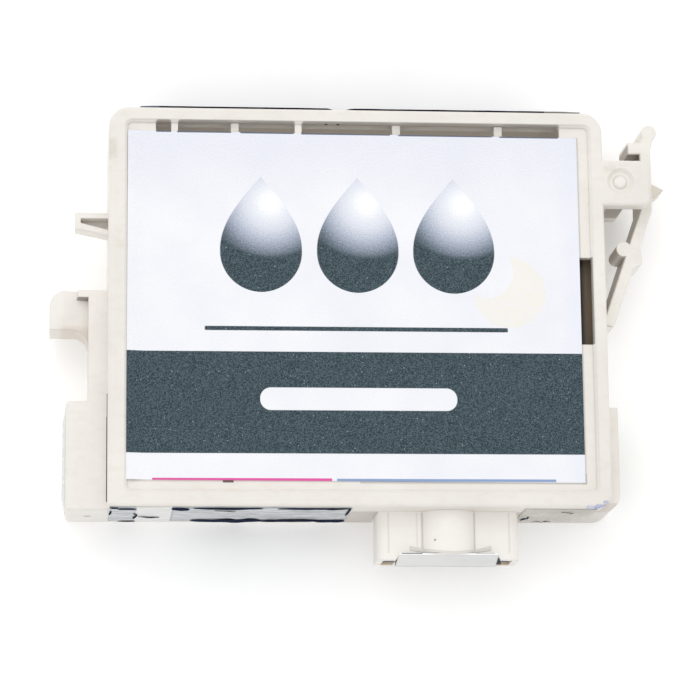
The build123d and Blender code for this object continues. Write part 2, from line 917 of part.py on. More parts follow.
def air_valve_film():
    """The film welded over the open side of the air valve."""
    face = left_side - block_reach
    low = outlet_side + air_film_margin
    high = block_top - air_film_margin
    half = air_bore + 2 * air_film_margin
    return block(face - air_film_thickness, face, low, high, air_z - half, air_z + half)


def vent_membrane():
    """The sheet that lets air through and holds ink back."""
    floor = left_side - block_reach + vent_depth
    low = vent_low + fit_gap
    high = vent_high - fit_gap
    half = vent_width / 2 - fit_gap
    return block(floor - vent_sheet, floor, low, high, air_z - half, air_z + half)


def memory_board():
    """The small circuit board, with a hole at one end and a notch at the other."""
    face = right_side + guard_reach
    bed = face - board_thickness
    hole = board_stake + board_gap
    body = board_block(bed, face, board_length / 2, board_width / 2)
    body -= board_stakes(hole, bed, face)
    low = board_y - board_length / 2
    return body - block(bed, face, low, board_y - board_stake_offset, board_z - hole, board_z + hole)


def board_contacts():
    """Two rows of gold pads on the board's face."""
    face = right_side + guard_reach
    pads = []
    for row, count in ((-pad_row_offset, low_row_count), (pad_row_offset, high_row_count)):
        for place in range(count):
            y = board_y + (place - (count - 1) / 2) * pad_pitch - pad_width / 2
            z = board_z + row - pad_height / 2
            pads.append(block(face, face + pad_thickness, y, y + pad_width, z, z + pad_height))
    return Compound(children=pads)


def memory_chip():
    """The chip under its drop of resin, on the back of the board."""
    bed = right_side + guard_reach - board_thickness
    body = board_block(bed - chip_thickness, bed, chip_length / 2, chip_width / 2)
    return fillet(body.faces().sort_by(Axis.X)[0].edges(), chip_thickness / 3)


def latch_lever():
    """The springy latch: a leaning arm with a pin, a step and a tooth, a finger bar and a round end."""
    path = Polyline((hinge_x, hinge_y), (bend_x, bend_y), (bend_x, neck_y), (bulb_x, bulb_y))
    half = lever_thickness / 2
    profile = trace(path, lever_thickness)
    for x, y in [(hinge_x, hinge_y), (bend_x, bend_y), (bend_x, neck_y)]:
        profile += Pos(x, y) * Circle(half)
    profile += Pos(bulb_x, bulb_y) * Circle(bulb_radius)
    finger = Rectangle(bend_x - finger_left, finger_high - finger_low)
    profile += Pos((finger_left + bend_x) / 2, (finger_low + finger_high) / 2) * finger
    step = [
        (step_root_x, step_high_y),
        (step_tip_x - half / 3, step_high_y),
        (step_tip_x, step_tip_y),
        (step_tip_x - half / 4, step_tip_y - half / 2),
        (step_root_x, step_low_y),
    ]
    profile += make_face(Polyline(*step, close=True))
    lever = extrude(Pos(0, 0, lever_back) * profile, lever_depth)
    lever = chamfer(lever.faces().sort_by(Axis.Z)[-1].edges(), lever_edge)
    lever += bar_z(pin_x, pin_y, pin_radius, lever_back, lever_back + lever_depth)
    edge = bend_x + half
    tooth = [
        (bend_x, tooth_low),
        (edge, tooth_low),
        (edge + tooth_reach, tooth_tip),
        (edge, tooth_high),
        (bend_x, tooth_high),
    ]
    return lever + plate(tooth, lever_back + tooth_inset, lever_back + lever_depth - tooth_inset)


pieces = {
    "case": case,
    "cover": cover,
    "front_label": front_label,
    "top_label": top_label,
    "chamber_film": chamber_film,
    "rear_film": rear_film,
    "channel_film": channel_film,
    "port_side_film": port_side_film,
    "outlet_seal": outlet_seal,
    "outlet_poppet": outlet_poppet,
    "outlet_spring": outlet_spring,
    "outlet_film": outlet_film,
    "ink_filter": ink_filter,
    "regulator_membrane": regulator_membrane,
    "regulator_spring": regulator_spring,
    "regulator_cap": regulator_cap,
    "air_valve_seal": air_valve_seal,
    "air_valve_poppet": air_valve_poppet,
    "air_valve_spring": air_valve_spring,
    "air_valve_film": air_valve_film,
    "vent_membrane": vent_membrane,
    "memory_board": memory_board,
    "board_contacts": board_contacts,
    "memory_chip": memory_chip,
    "latch_lever": latch_lever,
}

os.makedirs("parts", exist_ok=True)
for node, make in pieces.items():
    export_step(make(), f"parts/{node}.step")
    print("made", node)
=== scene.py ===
# %% [markdown]
# # A flat ink cartridge, dressed round its CAD frame
# The CAD model already has every moulding in its right place. This lesson adds what CAD leaves out:
# thin films with wrinkles, the print on the label, the plastic's surface, light and a camera.
# Everything is in metres, in the CAD model's own frame, so a length in millimetres is times MM.

# %% Load the frame
import math

import bmesh
import bpy
from mathutils import Matrix, Vector, noise


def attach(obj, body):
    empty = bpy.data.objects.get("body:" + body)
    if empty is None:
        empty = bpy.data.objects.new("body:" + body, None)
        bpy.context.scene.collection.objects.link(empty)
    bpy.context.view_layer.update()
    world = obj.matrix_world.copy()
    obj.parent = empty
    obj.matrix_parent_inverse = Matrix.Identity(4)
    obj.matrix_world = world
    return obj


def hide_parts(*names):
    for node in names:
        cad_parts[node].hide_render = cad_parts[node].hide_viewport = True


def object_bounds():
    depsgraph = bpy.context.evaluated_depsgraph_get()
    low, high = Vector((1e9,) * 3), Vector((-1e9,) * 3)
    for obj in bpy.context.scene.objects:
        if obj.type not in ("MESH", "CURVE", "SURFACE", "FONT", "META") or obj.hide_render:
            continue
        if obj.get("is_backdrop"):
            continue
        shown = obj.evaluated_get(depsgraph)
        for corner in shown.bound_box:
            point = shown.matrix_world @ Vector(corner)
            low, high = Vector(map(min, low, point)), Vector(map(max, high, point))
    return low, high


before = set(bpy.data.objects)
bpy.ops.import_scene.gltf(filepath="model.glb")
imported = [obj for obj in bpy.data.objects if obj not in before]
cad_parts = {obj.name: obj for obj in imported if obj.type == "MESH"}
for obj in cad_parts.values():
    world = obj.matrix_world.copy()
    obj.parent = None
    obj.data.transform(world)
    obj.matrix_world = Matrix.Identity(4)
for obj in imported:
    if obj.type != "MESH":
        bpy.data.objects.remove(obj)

CAD_LOW, CAD_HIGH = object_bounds()
MM = 0.001
SIZE = [round((high - low) / MM, 2) for low, high in zip(CAD_LOW, CAD_HIGH)]
print("the frame is", SIZE, "mm and has", len(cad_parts), "nodes")

# %% [markdown]
# ## Colours and nodes
# Colours are written as they look on a screen. Blender's shaders reckon in linear light, so one
# function turns a hex colour into linear numbers. A second one adds a shader node: its values are
# numbers, colours or the outputs of other nodes, and what else it is told is set as a property. A
# third one starts a material and gives each point's place on its object in millimetres.

# %% Three helpers


def linear(code):
    """A screen colour such as #ECE8E2 as linear red, green, blue and alpha."""
    parts = [int(code[i : i + 2], 16) / 255 for i in (1, 3, 5)]
    return [p / 12.92 if p <= 0.04045 else ((p + 0.055) / 1.055) ** 2.4 for p in parts] + [1.0]


def add(tree, kind, values=None, **settings):
    """Adds one node to a shader and fills its sockets with numbers, colours or links."""
    made = tree.nodes.new("ShaderNode" + kind)
    for name, value in settings.items():
        setattr(made, name, value)
    for socket, value in (values or {}).items():
        if isinstance(value, bpy.types.NodeSocket):
            tree.links.new(value, made.inputs[socket])
        else:
            made.inputs[socket].default_value = value
    return made


def start_material(name, **finish):
    """A new material: its tree, its main shader, and the object's own millimetres as a vector."""
    made = bpy.data.materials.new(name)
    made.use_nodes = True
    tree = made.node_tree
    shader = tree.nodes["Principled BSDF"]
    for socket, value in finish.items():
        shader.inputs[socket.replace("_", " ")].default_value = value
    place = add(tree, "TexCoord").outputs["Object"]
    place = add(tree, "Mapping", {"Vector": place, "Scale": (1 / MM, 1 / MM, 1 / MM)}).outputs[0]
    return made, tree, shader, place


print("ivory plastic in linear light:", [round(v, 3) for v in linear("#ECE8E2")])

# %% [markdown]
# ## Moulded polypropylene
# Case, cover and lever are moulded in off-white polypropylene. Close up it is satin, not glossy: the
# steel mould was spark-eroded, which leaves a grain of about a tenth of a millimetre, and thick places
# sink a little and shade unevenly. A soft noise a few millimetres wide gives the clouds and a fine one
# the grain, which is drawn twice as coarse as it is, so that it shows. The edges in the CAD model are
# sharp, so the Bevel node rounds how they catch the light.

# %% The plastic
PLASTIC_ROUGHNESS = 0.44
PLASTIC_IOR = 1.49
GRAIN_MM = 0.22
GRAIN_DEEP_MM = 0.02
CLOUD_MM = 9.0
EDGE_MM = 0.16


def grained(tree, place, shader):
    """Fine mould grain as bump on softly rounded edges, and the same noise in the roughness."""
    grain = add(tree, "TexNoise", {"Vector": place, "Scale": 1 / GRAIN_MM, "Detail": 2.0}).outputs[0]
    soft = add(tree, "Bevel", {"Radius": EDGE_MM * MM}, samples=6).outputs[0]
    bump = {"Strength": 0.25, "Distance": GRAIN_DEEP_MM * MM, "Height": grain, "Normal": soft}
    tree.links.new(add(tree, "Bump", bump).outputs[0], shader.inputs["Normal"])
    spread = {"Value": grain, "To Min": PLASTIC_ROUGHNESS - 0.05, "To Max": PLASTIC_ROUGHNESS + 0.07}
    tree.links.new(add(tree, "MapRange", spread).outputs[0], shader.inputs["Roughness"])


def clouds(tree, place, low, high):
    """Two close colours mixed by a soft noise a few millimetres wide."""
    drift = {"Vector": place, "Scale": 1 / CLOUD_MM, "Detail": 3.0, "Roughness": 0.55}
    drift = add(tree, "TexNoise", drift).outputs[0]
    spread = add(tree, "MapRange", {"Value": drift, "From Min": 0.3, "From Max": 0.7}).outputs[0]
    return add(tree, "Mix", {0: spread, 6: linear(low), 7: linear(high)}, data_type="RGBA").outputs[2]


print("grain", GRAIN_MM, "mm, clouds", CLOUD_MM, "mm")

# %% [markdown]
# ## Fields
# The label's print and every stain on this object are fields: places in millimetres where a colour
# takes over. A field here is a box with rounded corners. How far a point lies outside a box is a short
# sum with vectors, and a Map Range turns that distance into a mask with a soft edge.

# %% A box-shaped field
FAR = 500.0


def field(tree, place, low, high, corner=0.0, soft=0.05):
    """1 inside the box from low to high, 0 outside. Leave out Z for a field that goes right through."""
    low = list(low) + [-FAR] * (3 - len(low))
    high = list(high) + [FAR] * (3 - len(high))
    middle = [(a + b) / 2 for a, b in zip(low, high)]
    half = [(b - a) / 2 - corner for a, b in zip(low, high)]
    away = add(tree, "VectorMath", {0: place, 1: middle}, operation="SUBTRACT")
    away = add(tree, "VectorMath", {0: away.outputs[0]}, operation="ABSOLUTE")
    away = add(tree, "VectorMath", {0: away.outputs[0], 1: half}, operation="SUBTRACT")
    away = add(tree, "VectorMath", {0: away.outputs[0], 1: (0, 0, 0)}, operation="MAXIMUM")
    away = add(tree, "VectorMath", {0: away.outputs[0]}, operation="LENGTH")
    reach = {"From Min": corner, "From Max": corner + soft, "To Min": 1.0, "To Max": 0.0}
    reach["Value"] = away.outputs["Value"]
    return add(tree, "MapRange", reach, interpolation_type="SMOOTHSTEP").outputs[0]


def lay(tree, colour, layers):
    """Lays inks over a colour in turn. Each layer is a mask and a colour, or a node's colour output."""
    for mask, ink in layers:
        ink = linear(ink) if isinstance(ink, str) else ink
        colour = add(tree, "Mix", {0: mask, 6: colour, 7: ink}, data_type="RGBA").outputs[2]
    return colour


print("a field with no Z goes", FAR, "mm each way")

# %% [markdown]
# ## Plastic with dirt and painted shade
# Handled plastic holds dust and grime where no cloth reaches. Most washes here, though, are painted
# shade, and a few are painted light. A picture of them would need its own layout on each moulding, so
# each wash is a field with a soft edge, a strength and a colour. The plastic itself has faint streaks
# along the way it flowed into the mould.

# %% A moulded plastic, its dirt and its painted shade
STREAKS_PER_MM = 0.9
STREAK_STRETCH = 0.6
STREAK_SHARE = 0.25
# strength of a painted glow, in the case's deep pockets and on the chambers' weld
PAINTED_GLOW = 0.06


def faded(tree, mask, share):
    """A mask at a part of its strength."""
    return add(tree, "Math", {0: mask, 1: share}, operation="MULTIPLY").outputs[0]


def washes(tree, place, rows):
    """Even dirt and painted shade. A row is a box's low and high corner, its soft edge, its strength and
    its colour.
    """
    layers = []
    for low, high, soft, share, colour in rows:
        layers.append((faded(tree, field(tree, place, low, high, soft=soft), share), colour))
    return layers


def moulded(name, low, high, dirt_and_shade, glow_box=None):
    """A polypropylene of two close colours, with its streaks, its dirt and its painted shade.

    In the glow box, a faint painted glow stands in for light that would reach the deep pockets."""
    made, tree, shader, place = start_material(name, Roughness=PLASTIC_ROUGHNESS, IOR=PLASTIC_IOR)
    long_way = add(tree, "Mapping", {"Vector": place, "Scale": (STREAK_STRETCH, 1.0, 1.0)}).outputs[0]
    flow = {"Vector": long_way, "Scale": STREAKS_PER_MM, "Detail": 4.0, "Roughness": 0.6}
    flow = add(tree, "TexNoise", flow).outputs[0]
    streak = add(tree, "MapRange", {"Value": flow, "From Min": 0.5, "From Max": 0.8}).outputs[0]
    layers = [(faded(tree, streak, STREAK_SHARE), "#D3C9BC")] + dirt_and_shade(tree, place)
    tree.links.new(lay(tree, clouds(tree, place, low, high), layers), shader.inputs["Base Color"])
    # a faint painted glow in the glow box, standing in for light that reaches the deep pockets
    if glow_box:
        inside = field(tree, place, *glow_box, soft=0.1)
        tree.links.new(faded(tree, inside, PAINTED_GLOW), shader.inputs["Emission Strength"])
        shader.inputs["Emission Color"].default_value = linear("#F4EADC")
    grained(tree, place, shader)
    return made


print("flow streaks are about", round(1 / STREAKS_PER_MM, 1), "mm wide")

# %% [markdown]
# ## The case
# The case is the large moulding. Its deep pockets are seen through the windows of the cover, and a
# faint painted glow in them stands in for light that reaches them. A painted shadow lies in the seam
# at the cover's left end, painted shade in corners, on the outlet side, in the creases of the outlet
# housing and on the legs beside the outlet, and painted light on the outlet housing.

# %% Case plastic
CASE_PAINTED_LIGHT_AND_SHADE = [
    # painted shadow in the seam at the cover's left end
    ((-31.1, -24.1, 8.2), (-30.88, -13.5), 0.03, 1.0, "#1D1E26"),
    ((-31.06, -13.5, 8.2), (-30.92, -10.6), 0.03, 1.0, "#1D1E26"),
    # painted light on the outlet housing, and painted shade on the outlet side next to it
    ((2.0, -31.5, 8.0), (20.0, -25.4, 11.0), 0.3, 0.5, "#FAF7F2"),
    ((-1.1, -25.3, 0.0), (2.2, -25.1, 9.0), 0.3, 0.6, "#B3ACA2"),
    ((19.8, -25.3, 0.0), (32.3, -24.2, 8.7), 0.3, 0.45, "#B3ACA2"),
    # painted shade in corners at the left and beside the lever
    ((-34.8, 1.4, 6.0), (-33.3, 1.63, 8.72), 0.1, 0.6, "#6E6355"),
    ((-36.4, -6.0, 2.0), (-33.2, -2.38, 8.1), 0.8, 0.3, "#C2B09A"),
    ((32.3, 14.1, 2.0), (36.0, 14.25, 8.2), 0.05, 0.6, "#9A8D7E"),
    # painted shade in tan and grey at the ends of the two legs
    ((2.98, -31.3, 3.0), (4.7, -30.9, 5.0), 0.05, 1.0, "#DCC9B1"),
    ((3.2, -30.86, 3.0), (4.7, -30.6, 8.0), 0.05, 0.8, "#7C8494"),
    ((17.5, -31.3, 3.0), (19.05, -30.9, 5.0), 0.05, 1.0, "#DCC9B1"),
    ((17.0, -31.1, 3.0), (18.0, -30.2, 8.4), 0.15, 0.9, "#464C5A"),
    ((18.0, -30.86, 3.0), (19.0, -30.6, 8.0), 0.05, 0.8, "#7C8494"),
]
# painted shade along the creases of the outlet housing: place and strength
CREASE_SHADES = [(7.75, 0.4), (14.25, 0.4), (7.12, 0.16), (3.58, 0.2), (18.58, 0.2)]
CREASE_Y = (-30.3, -25.4)
CREASE_HALF = 0.05
SPECK = ((9.1, -29.0), (9.26, -28.84))
# the case's pockets, which get a painted glow
POCKETS = ((-29.3, 18.9, 1.5), (29.4, 24.3, 8.79))


def case_light_shade_and_speck(tree, place):
    """The case's painted light and shade, painted shade along creases of the outlet housing and a round
    speck on its barrel.
    """
    creases = []
    for x, share in CREASE_SHADES:
        low, high = (x - CREASE_HALF, CREASE_Y[0]), (x + CREASE_HALF, CREASE_Y[1])
        # grey painted shade in each crease
        creases.append((low, high, 0.15, share, "#A89C8E"))
    speck = field(tree, place, *SPECK, corner=0.08, soft=0.08)
    return washes(tree, place, CASE_PAINTED_LIGHT_AND_SHADE + creases) + [(faded(tree, speck, 0.8), "#6B6259")]


CASE_PLASTIC = moulded("polypropylene_case", "#EAE6E0", "#F2EEE8", case_light_shade_and_speck, POCKETS)
print(CASE_PLASTIC.name, "has", len(CASE_PAINTED_LIGHT_AND_SHADE) + len(CREASE_SHADES), "washes")

# %% [markdown]
# ## The cover
# The cover is welded onto the case and is a little greyer. It has blue ink at its low right corner,
# from the last refill, and faint rubs where it was held. Painted shadow lies along the label's right
# and lower edges, and painted shade on the walls of the windows. Ink and rubs are uneven, so a noise
# breaks their fields up into dabs.

# %% Cover plastic
COVER_SHADE_AND_SPECKS = [
    # painted shade on the walls of the right window and of the upper ones
    ((29.25, -4.8, 8.0), (29.7, 6.7, 8.8), 1.5, 0.6, "#7A6A5C"),
    ((-29.3, 23.5, 8.0), (29.3, 23.7, 12.3), 0.08, 0.12, "#7A6A5C"),
    # two specks on the wall of an upper window
    ((-3.94, 23.3, 10.6), (-3.66, 23.8, 11.2), 0.1, 1.0, "#5D4A38"),
    ((-2.44, 23.3, 10.6), (-2.16, 23.8, 11.2), 0.1, 1.0, "#5D4A38"),
    # painted shadow along the label's right and lower edges
    ((27.5, -22.1, 11.7), (27.86, 21.95, 11.85), 0.22, 0.38, "#8B8781"),
    ((-28.0, -21.96, 11.7), (0.0, -21.0, 11.85), 0.22, 0.22, "#8B8781"),
    ((0.0, -22.12, 11.7), (27.86, -21.0, 11.85), 0.22, 0.42, "#8B8781"),
]
INK_SPOTS = (0.35, 0.36, 0.62)
COVER_DABS = [
    # blue ink at the low right corner
    ((27.9, -25.55, 11.3), (29.4, -25.1), 0.12, 0.3, INK_SPOTS, "#A9B6DC"),
    ((29.0, -25.4, 11.3), (30.4, -24.95), 0.12, 0.3, INK_SPOTS, "#7286C8"),
    ((30.0, -25.1, 11.3), (31.2, -24.5), 0.12, 0.3, INK_SPOTS, "#5B70BD"),
    # rubs on the left rim and on the lug
    ((-29.9, 7.6), (-29.2, 9.4), 0.2, 0.9, (1.2, 0.45, 1.2), "#C9B79C"),
    ((-30.9, 18.7, 12.4), (-30.4, 20.7, 12.6), 0.0, 0.8, (1.5, 0.2, 0.9), "#CFC8BD"),
    ((31.1, 17.7), (32.5, 18.2), 0.25, 0.2, (0.5, 0.3, 1.1), "#CDBFA9"),
]


def speckled(tree, place, mask, size, low, high):
    """Breaks a mask up with a noise of a size in millimetres, so that it looks dabbed on."""
    spots = add(tree, "TexNoise", {"Vector": place, "Scale": 1 / size, "Detail": 4.0, "Roughness": 0.65})
    broken = add(tree, "MapRange", {"Value": spots.outputs[0], "From Min": low, "From Max": high})
    return add(tree, "Math", {0: mask, 1: broken.outputs[0]}, operation="MULTIPLY").outputs[0]


def cover_shade_and_dirt(tree, place):
    """The cover's painted shade and specks, then its dabs, each with a corner radius, a soft edge and its
    spots.
    """
    layers = washes(tree, place, COVER_SHADE_AND_SPECKS)
    for low, high, corner, soft, spots, colour in COVER_DABS:
        dab = field(tree, place, low, high, corner=corner, soft=soft)
        layers.append((speckled(tree, place, dab, *spots), colour))
    return layers


COVER_PLASTIC = moulded("polypropylene_cover", "#E7E3DC", "#EFEBE4", cover_shade_and_dirt)
print(COVER_PLASTIC.name, "has", len(COVER_SHADE_AND_SPECKS), "washes and", len(COVER_DABS), "dabs")

# %% [markdown]
# ## The lever
# Painted shade browns the lever's faces that look to the left, the underside of its finger tab and
# its tooth. A face's own normal tells where it looks, so the same boxes leave its upper side unshaded.

# %% Lever plastic
# painted shade under the finger tab
LEVER_FINGER_SHADE = ((34.95, 20.3, 4.0), (36.6, 20.95, 8.4), 0.06, 0.85, "#5B5248")
# painted shade on the left faces of arm and step
LEVER_SIDE_SHADE = [
    ((30.0, -6.0), (40.0, 15.5), 0.5, 0.7, "#8F8273"),
    ((31.0, 18.6), (37.5, 22.0), 0.08, 0.75, "#7C6D5D"),
]
# painted shade on the tooth's sloped face
LEVER_TOOTH_SHADE = ((38.0, 15.4, 2.0), (39.8, 17.9, 8.2), 0.25, 0.6, "#CFC5B4")
LEFTWARD = (0.5, 0.95)


def leftward(tree):
    """1 on faces that look to the left, 0 on all others."""
    facing = add(tree, "SeparateXYZ", {0: add(tree, "TexCoord").outputs["Normal"]}).outputs[0]
    reach = {"Value": facing, "From Min": -LEFTWARD[0], "From Max": -LEFTWARD[1]}
    return add(tree, "MapRange", reach).outputs[0]


def lever_shade(tree, place):
    """Painted shade under the finger, on the left faces of arm and step, and a light painted shade on the
    tooth.
    """
    layers = washes(tree, place, [LEVER_FINGER_SHADE])
    left = leftward(tree)
    for low, high, soft, share, colour in LEVER_SIDE_SHADE:
        box = field(tree, place, low, high, soft=soft)
        side = add(tree, "Math", {0: left, 1: box}, operation="MULTIPLY").outputs[0]
        layers.append((faded(tree, side, share), colour))
    return layers + washes(tree, place, [LEVER_TOOTH_SHADE])


LEVER_PLASTIC = moulded("polypropylene_lever", "#EAE6DF", "#F2EFE8", lever_shade)
print(LEVER_PLASTIC.name, "has", len(LEVER_PLASTIC.node_tree.nodes), "nodes")

# %% [markdown]
# ## Three plain drops
# All of the label's print is drawn in its own millimetres, so each of its three drops is a formula and
# no picture. A drop's outline is a circle below and the first quarter of a cosine above, which meet
# where it is widest.

# %% A drop's outline
DROP_X = (-12.13, -0.08, 11.94)
DROP_RADIUS = 5.14
DROP_CIRCLE_Y = 6.85
DROP_SHOULDER_Y = 7.1
DROP_TIP_Y = 16.5


def drop_outline(tree, off, y):
    """1 inside a drop, from the distance off its middle line and the height y."""
    above = add(tree, "Math", {0: y, 1: DROP_SHOULDER_Y}, operation="SUBTRACT")
    above = add(tree, "Math", {0: above.outputs[0], 1: 0.0}, operation="MAXIMUM")
    quarter = math.pi / 2 / (DROP_TIP_Y - DROP_SHOULDER_Y)
    above = add(tree, "Math", {0: above.outputs[0], 1: quarter}, operation="MULTIPLY")
    above = add(tree, "Math", {0: above.outputs[0]}, operation="COSINE")
    below = add(tree, "Math", {0: y, 1: DROP_CIRCLE_Y}, operation="SUBTRACT")
    below = add(tree, "Math", {0: below.outputs[0], 1: 0.0}, operation="MINIMUM")
    below = add(tree, "Math", {0: below.outputs[0], 1: below.outputs[0]}, operation="MULTIPLY")
    below = add(tree, "Math", {0: DROP_RADIUS**2, 1: below.outputs[0]}, operation="SUBTRACT")
    below = add(tree, "Math", {0: below.outputs[0], 1: 0.0}, operation="MAXIMUM")
    below = add(tree, "Math", {0: below.outputs[0]}, operation="SQRT")
    half = add(tree, "Math", {0: above.outputs[0], 1: below.outputs[0]}, operation="MULTIPLY")
    off = add(tree, "Math", {0: off}, operation="ABSOLUTE")
    inside = add(tree, "Math", {0: half.outputs[0], 1: off.outputs[0]}, operation="SUBTRACT")
    return add(tree, "MapRange", {"Value": inside.outputs[0], "From Min": 0.0, "From Max": 0.1}).outputs[0]


print("a drop is", 2 * DROP_RADIUS, "mm wide and", DROP_TIP_Y - DROP_CIRCLE_Y + DROP_RADIUS, "mm high")

# %% [markdown]
# ## The shine on a drop
# A drop is dark at the bottom, up to a shallow curve. Above that its colours run from near white at a
# spot beside the tip to slate further out. A colour ramp over the distance from that spot gives them,
# and the specks of the print make its rings uneven.

# %% A drop's shine
SHINE = (1.2, 13.1)
SHINE_STEPS = [
    (0.9, "#FCFDFC"),
    (2.2, "#E9ECF4"),
    (3.3, "#DCE0EA"),
    (4.6, "#BCC3D2"),
    (5.7, "#98A1B1"),
    (6.6, "#6E7986"),
    (7.6, "#4A565E"),
]
SHINE_UNEVEN = 3.0
DARK_LINE = 6.15
DARK_CURVE = 0.057


def drop_inks(tree, off, y, grain):
    """The shine's colours and the mask of the dark ink at the bottom of the drop."""
    spot = add(tree, "CombineXYZ", {"X": off, "Y": y})
    reach = add(tree, "VectorMath", {0: spot.outputs[0], 1: (*SHINE, 0)}, operation="DISTANCE")
    wavy = {0: grain, 1: SHINE_UNEVEN, 2: reach.outputs["Value"]}
    wavy = add(tree, "Math", wavy, operation="MULTIPLY_ADD")
    last = SHINE_STEPS[-1][0] + 1.0
    share = add(tree, "Math", {0: wavy.outputs[0], 1: last}, operation="DIVIDE")
    ramp = add(tree, "ValToRGB", {"Fac": share.outputs[0]})
    stops = ramp.color_ramp.elements
    while len(stops) < len(SHINE_STEPS):
        stops.new(0.5)
    for stop, (reach_mm, colour) in zip(stops, SHINE_STEPS):
        stop.position = reach_mm / last
        stop.color = linear(colour)
    side = add(tree, "Math", {0: off, 1: SHINE[0]}, operation="SUBTRACT")
    side = add(tree, "Math", {0: side.outputs[0], 1: side.outputs[0]}, operation="MULTIPLY")
    line = add(tree, "Math", {0: side.outputs[0], 1: DARK_CURVE, 2: DARK_LINE}, operation="MULTIPLY_ADD")
    over = add(tree, "Math", {0: y, 1: line.outputs[0]}, operation="SUBTRACT").outputs[0]
    soft = {"Value": over, "From Min": -0.3, "From Max": 0.5, "To Min": 1.0, "To Max": 0.0}
    dark = add(tree, "MapRange", soft, interpolation_type="SMOOTHSTEP")
    return ramp.outputs[0], dark.outputs[0]


print("the shine has", len(SHINE_STEPS), "colours over", SHINE_STEPS[-1][0], "mm")

# %% [markdown]
# ## The label's paper and ink
# The label is coated paper that came out of an inkjet printer, so even its flat fields are full of
# fine white and dark specks. The printer's dots are too small to show, so the specks are drawn about a
# fifth of a millimetre wide. Here and there the printer missed a spot, and the paper shows through.

# %% Paper and slate ink
PAPER_LOW = "#F0F1F6"
PAPER_HIGH = "#F9F9FC"
SLATE = "#2B3A41"
SPECKS_PER_MM = 5.2
DOTS_PER_MM = 7.5
MISSES_PER_MM = 1.35
PAPER_DEEP_MM = 0.01


def paper_colour(tree, place, grain):
    """Near white paper with specks, painted shade towards its upper edge and bluer towards its right one.
    """
    flecks = add(tree, "MapRange", {"Value": grain, "From Min": 0.35, "From Max": 0.75}).outputs[0]
    # painted shade towards the label's upper edge
    upper = field(tree, place, (-FAR, 21.0), (FAR, FAR), soft=9.0)
    right = field(tree, place, (27.4, -FAR), (FAR, FAR), soft=3.0)
    weave = add(tree, "Math", {0: upper, 1: flecks}, operation="MULTIPLY").outputs[0]
    paper_tones = [
        (flecks, 0.4, "#DFE1EC"),
        (upper, 0.35, "#E6E8EF"),
        (weave, 0.35, "#CDD5EC"),
        (right, 0.2, "#D9DFF3"),
    ]
    layers = [(faded(tree, mask, share), tone) for mask, share, tone in paper_tones]
    return lay(tree, clouds(tree, place, PAPER_LOW, PAPER_HIGH), layers)


def slate_ink(tree, place):
    """Dark ink with paler dots and a few spots that the printer missed."""
    dots = add(tree, "TexNoise", {"Vector": place, "Scale": DOTS_PER_MM, "Detail": 1.0}).outputs[0]
    dots = add(tree, "MapRange", {"Value": dots, "From Min": 0.38, "From Max": 0.68}).outputs[0]
    missed = add(tree, "TexVoronoi", {"Vector": place, "Scale": MISSES_PER_MM}).outputs["Distance"]
    thin = {"Value": missed, "From Min": 0.04, "From Max": 0.1, "To Min": 0.75, "To Max": 0.0}
    missed = add(tree, "MapRange", thin).outputs[0]
    return lay(tree, linear(SLATE), [(dots, "#5A6A72"), (missed, "#C9D0D6")])


print("specks are about", round(1 / SPECKS_PER_MM, 2), "mm wide")

# %% [markdown]
# ## Dark strips and a stain
# Where the label hangs over the windows, its upper edge looks dark blue. That edge isn't level, because
# the label was stuck on a little turned. So the label's left and right end each have a lower and an
# upper corner of their own, and each dark strip starts at its own height between the upper ones. The
# pale stain is a crescent: one disc less another.

# %% Strips at the windows, and the stain
LABEL_LEFT = ((-28.74, -21.82), (-28.64, 22.22))
LABEL_RIGHT = ((27.78, -22.05), (27.76, 21.99))
OVERHANG = 0.1
WINDOWS = [(-25.1, -23.3), (-22.5, -15.8), (-14.6, -8.0), (-7.0, 4.1), (5.2, 17.0), (18.0, 25.4)]
STAIN = ((18.85, 1.9), 4.35)
STAIN_BITE = ((15.9, 4.6), 3.25)
STAIN_SPOTS = (0.3, 0.3, 0.6)


def span(pair, share):
    """The value at a share of the way through a stretch."""
    return pair[0] + (pair[1] - pair[0]) * share


def window_strips(tree, place):
    """Dark blue along the label's upper edge, where windows lie under it."""
    layers = []
    (start, start_y), (end, end_y) = LABEL_LEFT[1], LABEL_RIGHT[1]
    for left, right in WINDOWS:
        edge_y = span((start_y, end_y), ((left + right) / 2 - start) / (end - start))
        strip = field(tree, place, (left, edge_y - OVERHANG), (right, FAR), soft=0.06)
        layers.append((faded(tree, strip, 0.9), "#24406C"))
    return layers


def disc(tree, place, middle, radius):
    """A round field with a soft edge."""
    low = [value - radius for value in middle]
    high = [value + radius for value in middle]
    return field(tree, place, low, high, corner=radius - 0.01, soft=0.35)


def stain(tree, place):
    """The mask of the crescent, broken up into spots."""
    whole, bite = disc(tree, place, *STAIN), disc(tree, place, *STAIN_BITE)
    crescent = add(tree, "Math", {0: whole, 1: bite}, operation="SUBTRACT", use_clamp=True).outputs[0]
    return speckled(tree, place, faded(tree, crescent, 0.9), *STAIN_SPOTS)


print("the label's upper edge is", round(LABEL_RIGHT[1][0] - LABEL_LEFT[1][0], 1), "mm long")

# %% [markdown]
# ## The whole print
# Under the drops lie a thin rule, a slate band with a white bar, and two thin lines at the lower edge.
# A picture could hold all of this, but fields stay sharp from close up. They are laid over the paper
# in turn, so the bar goes on after the band.

# %% The label's print
BAND_Y = (-18.5, -5.84)
RULE = ((-19.1, -3.12), (18.5, -2.66))
BAR = ((-12.3, -13.1), (12.0, -10.35))
PINK_LINE = ((-25.55, -21.92), (-3.6, -21.64))
BLUE_LINE = ((-2.95, -21.95), (24.1, -21.68))


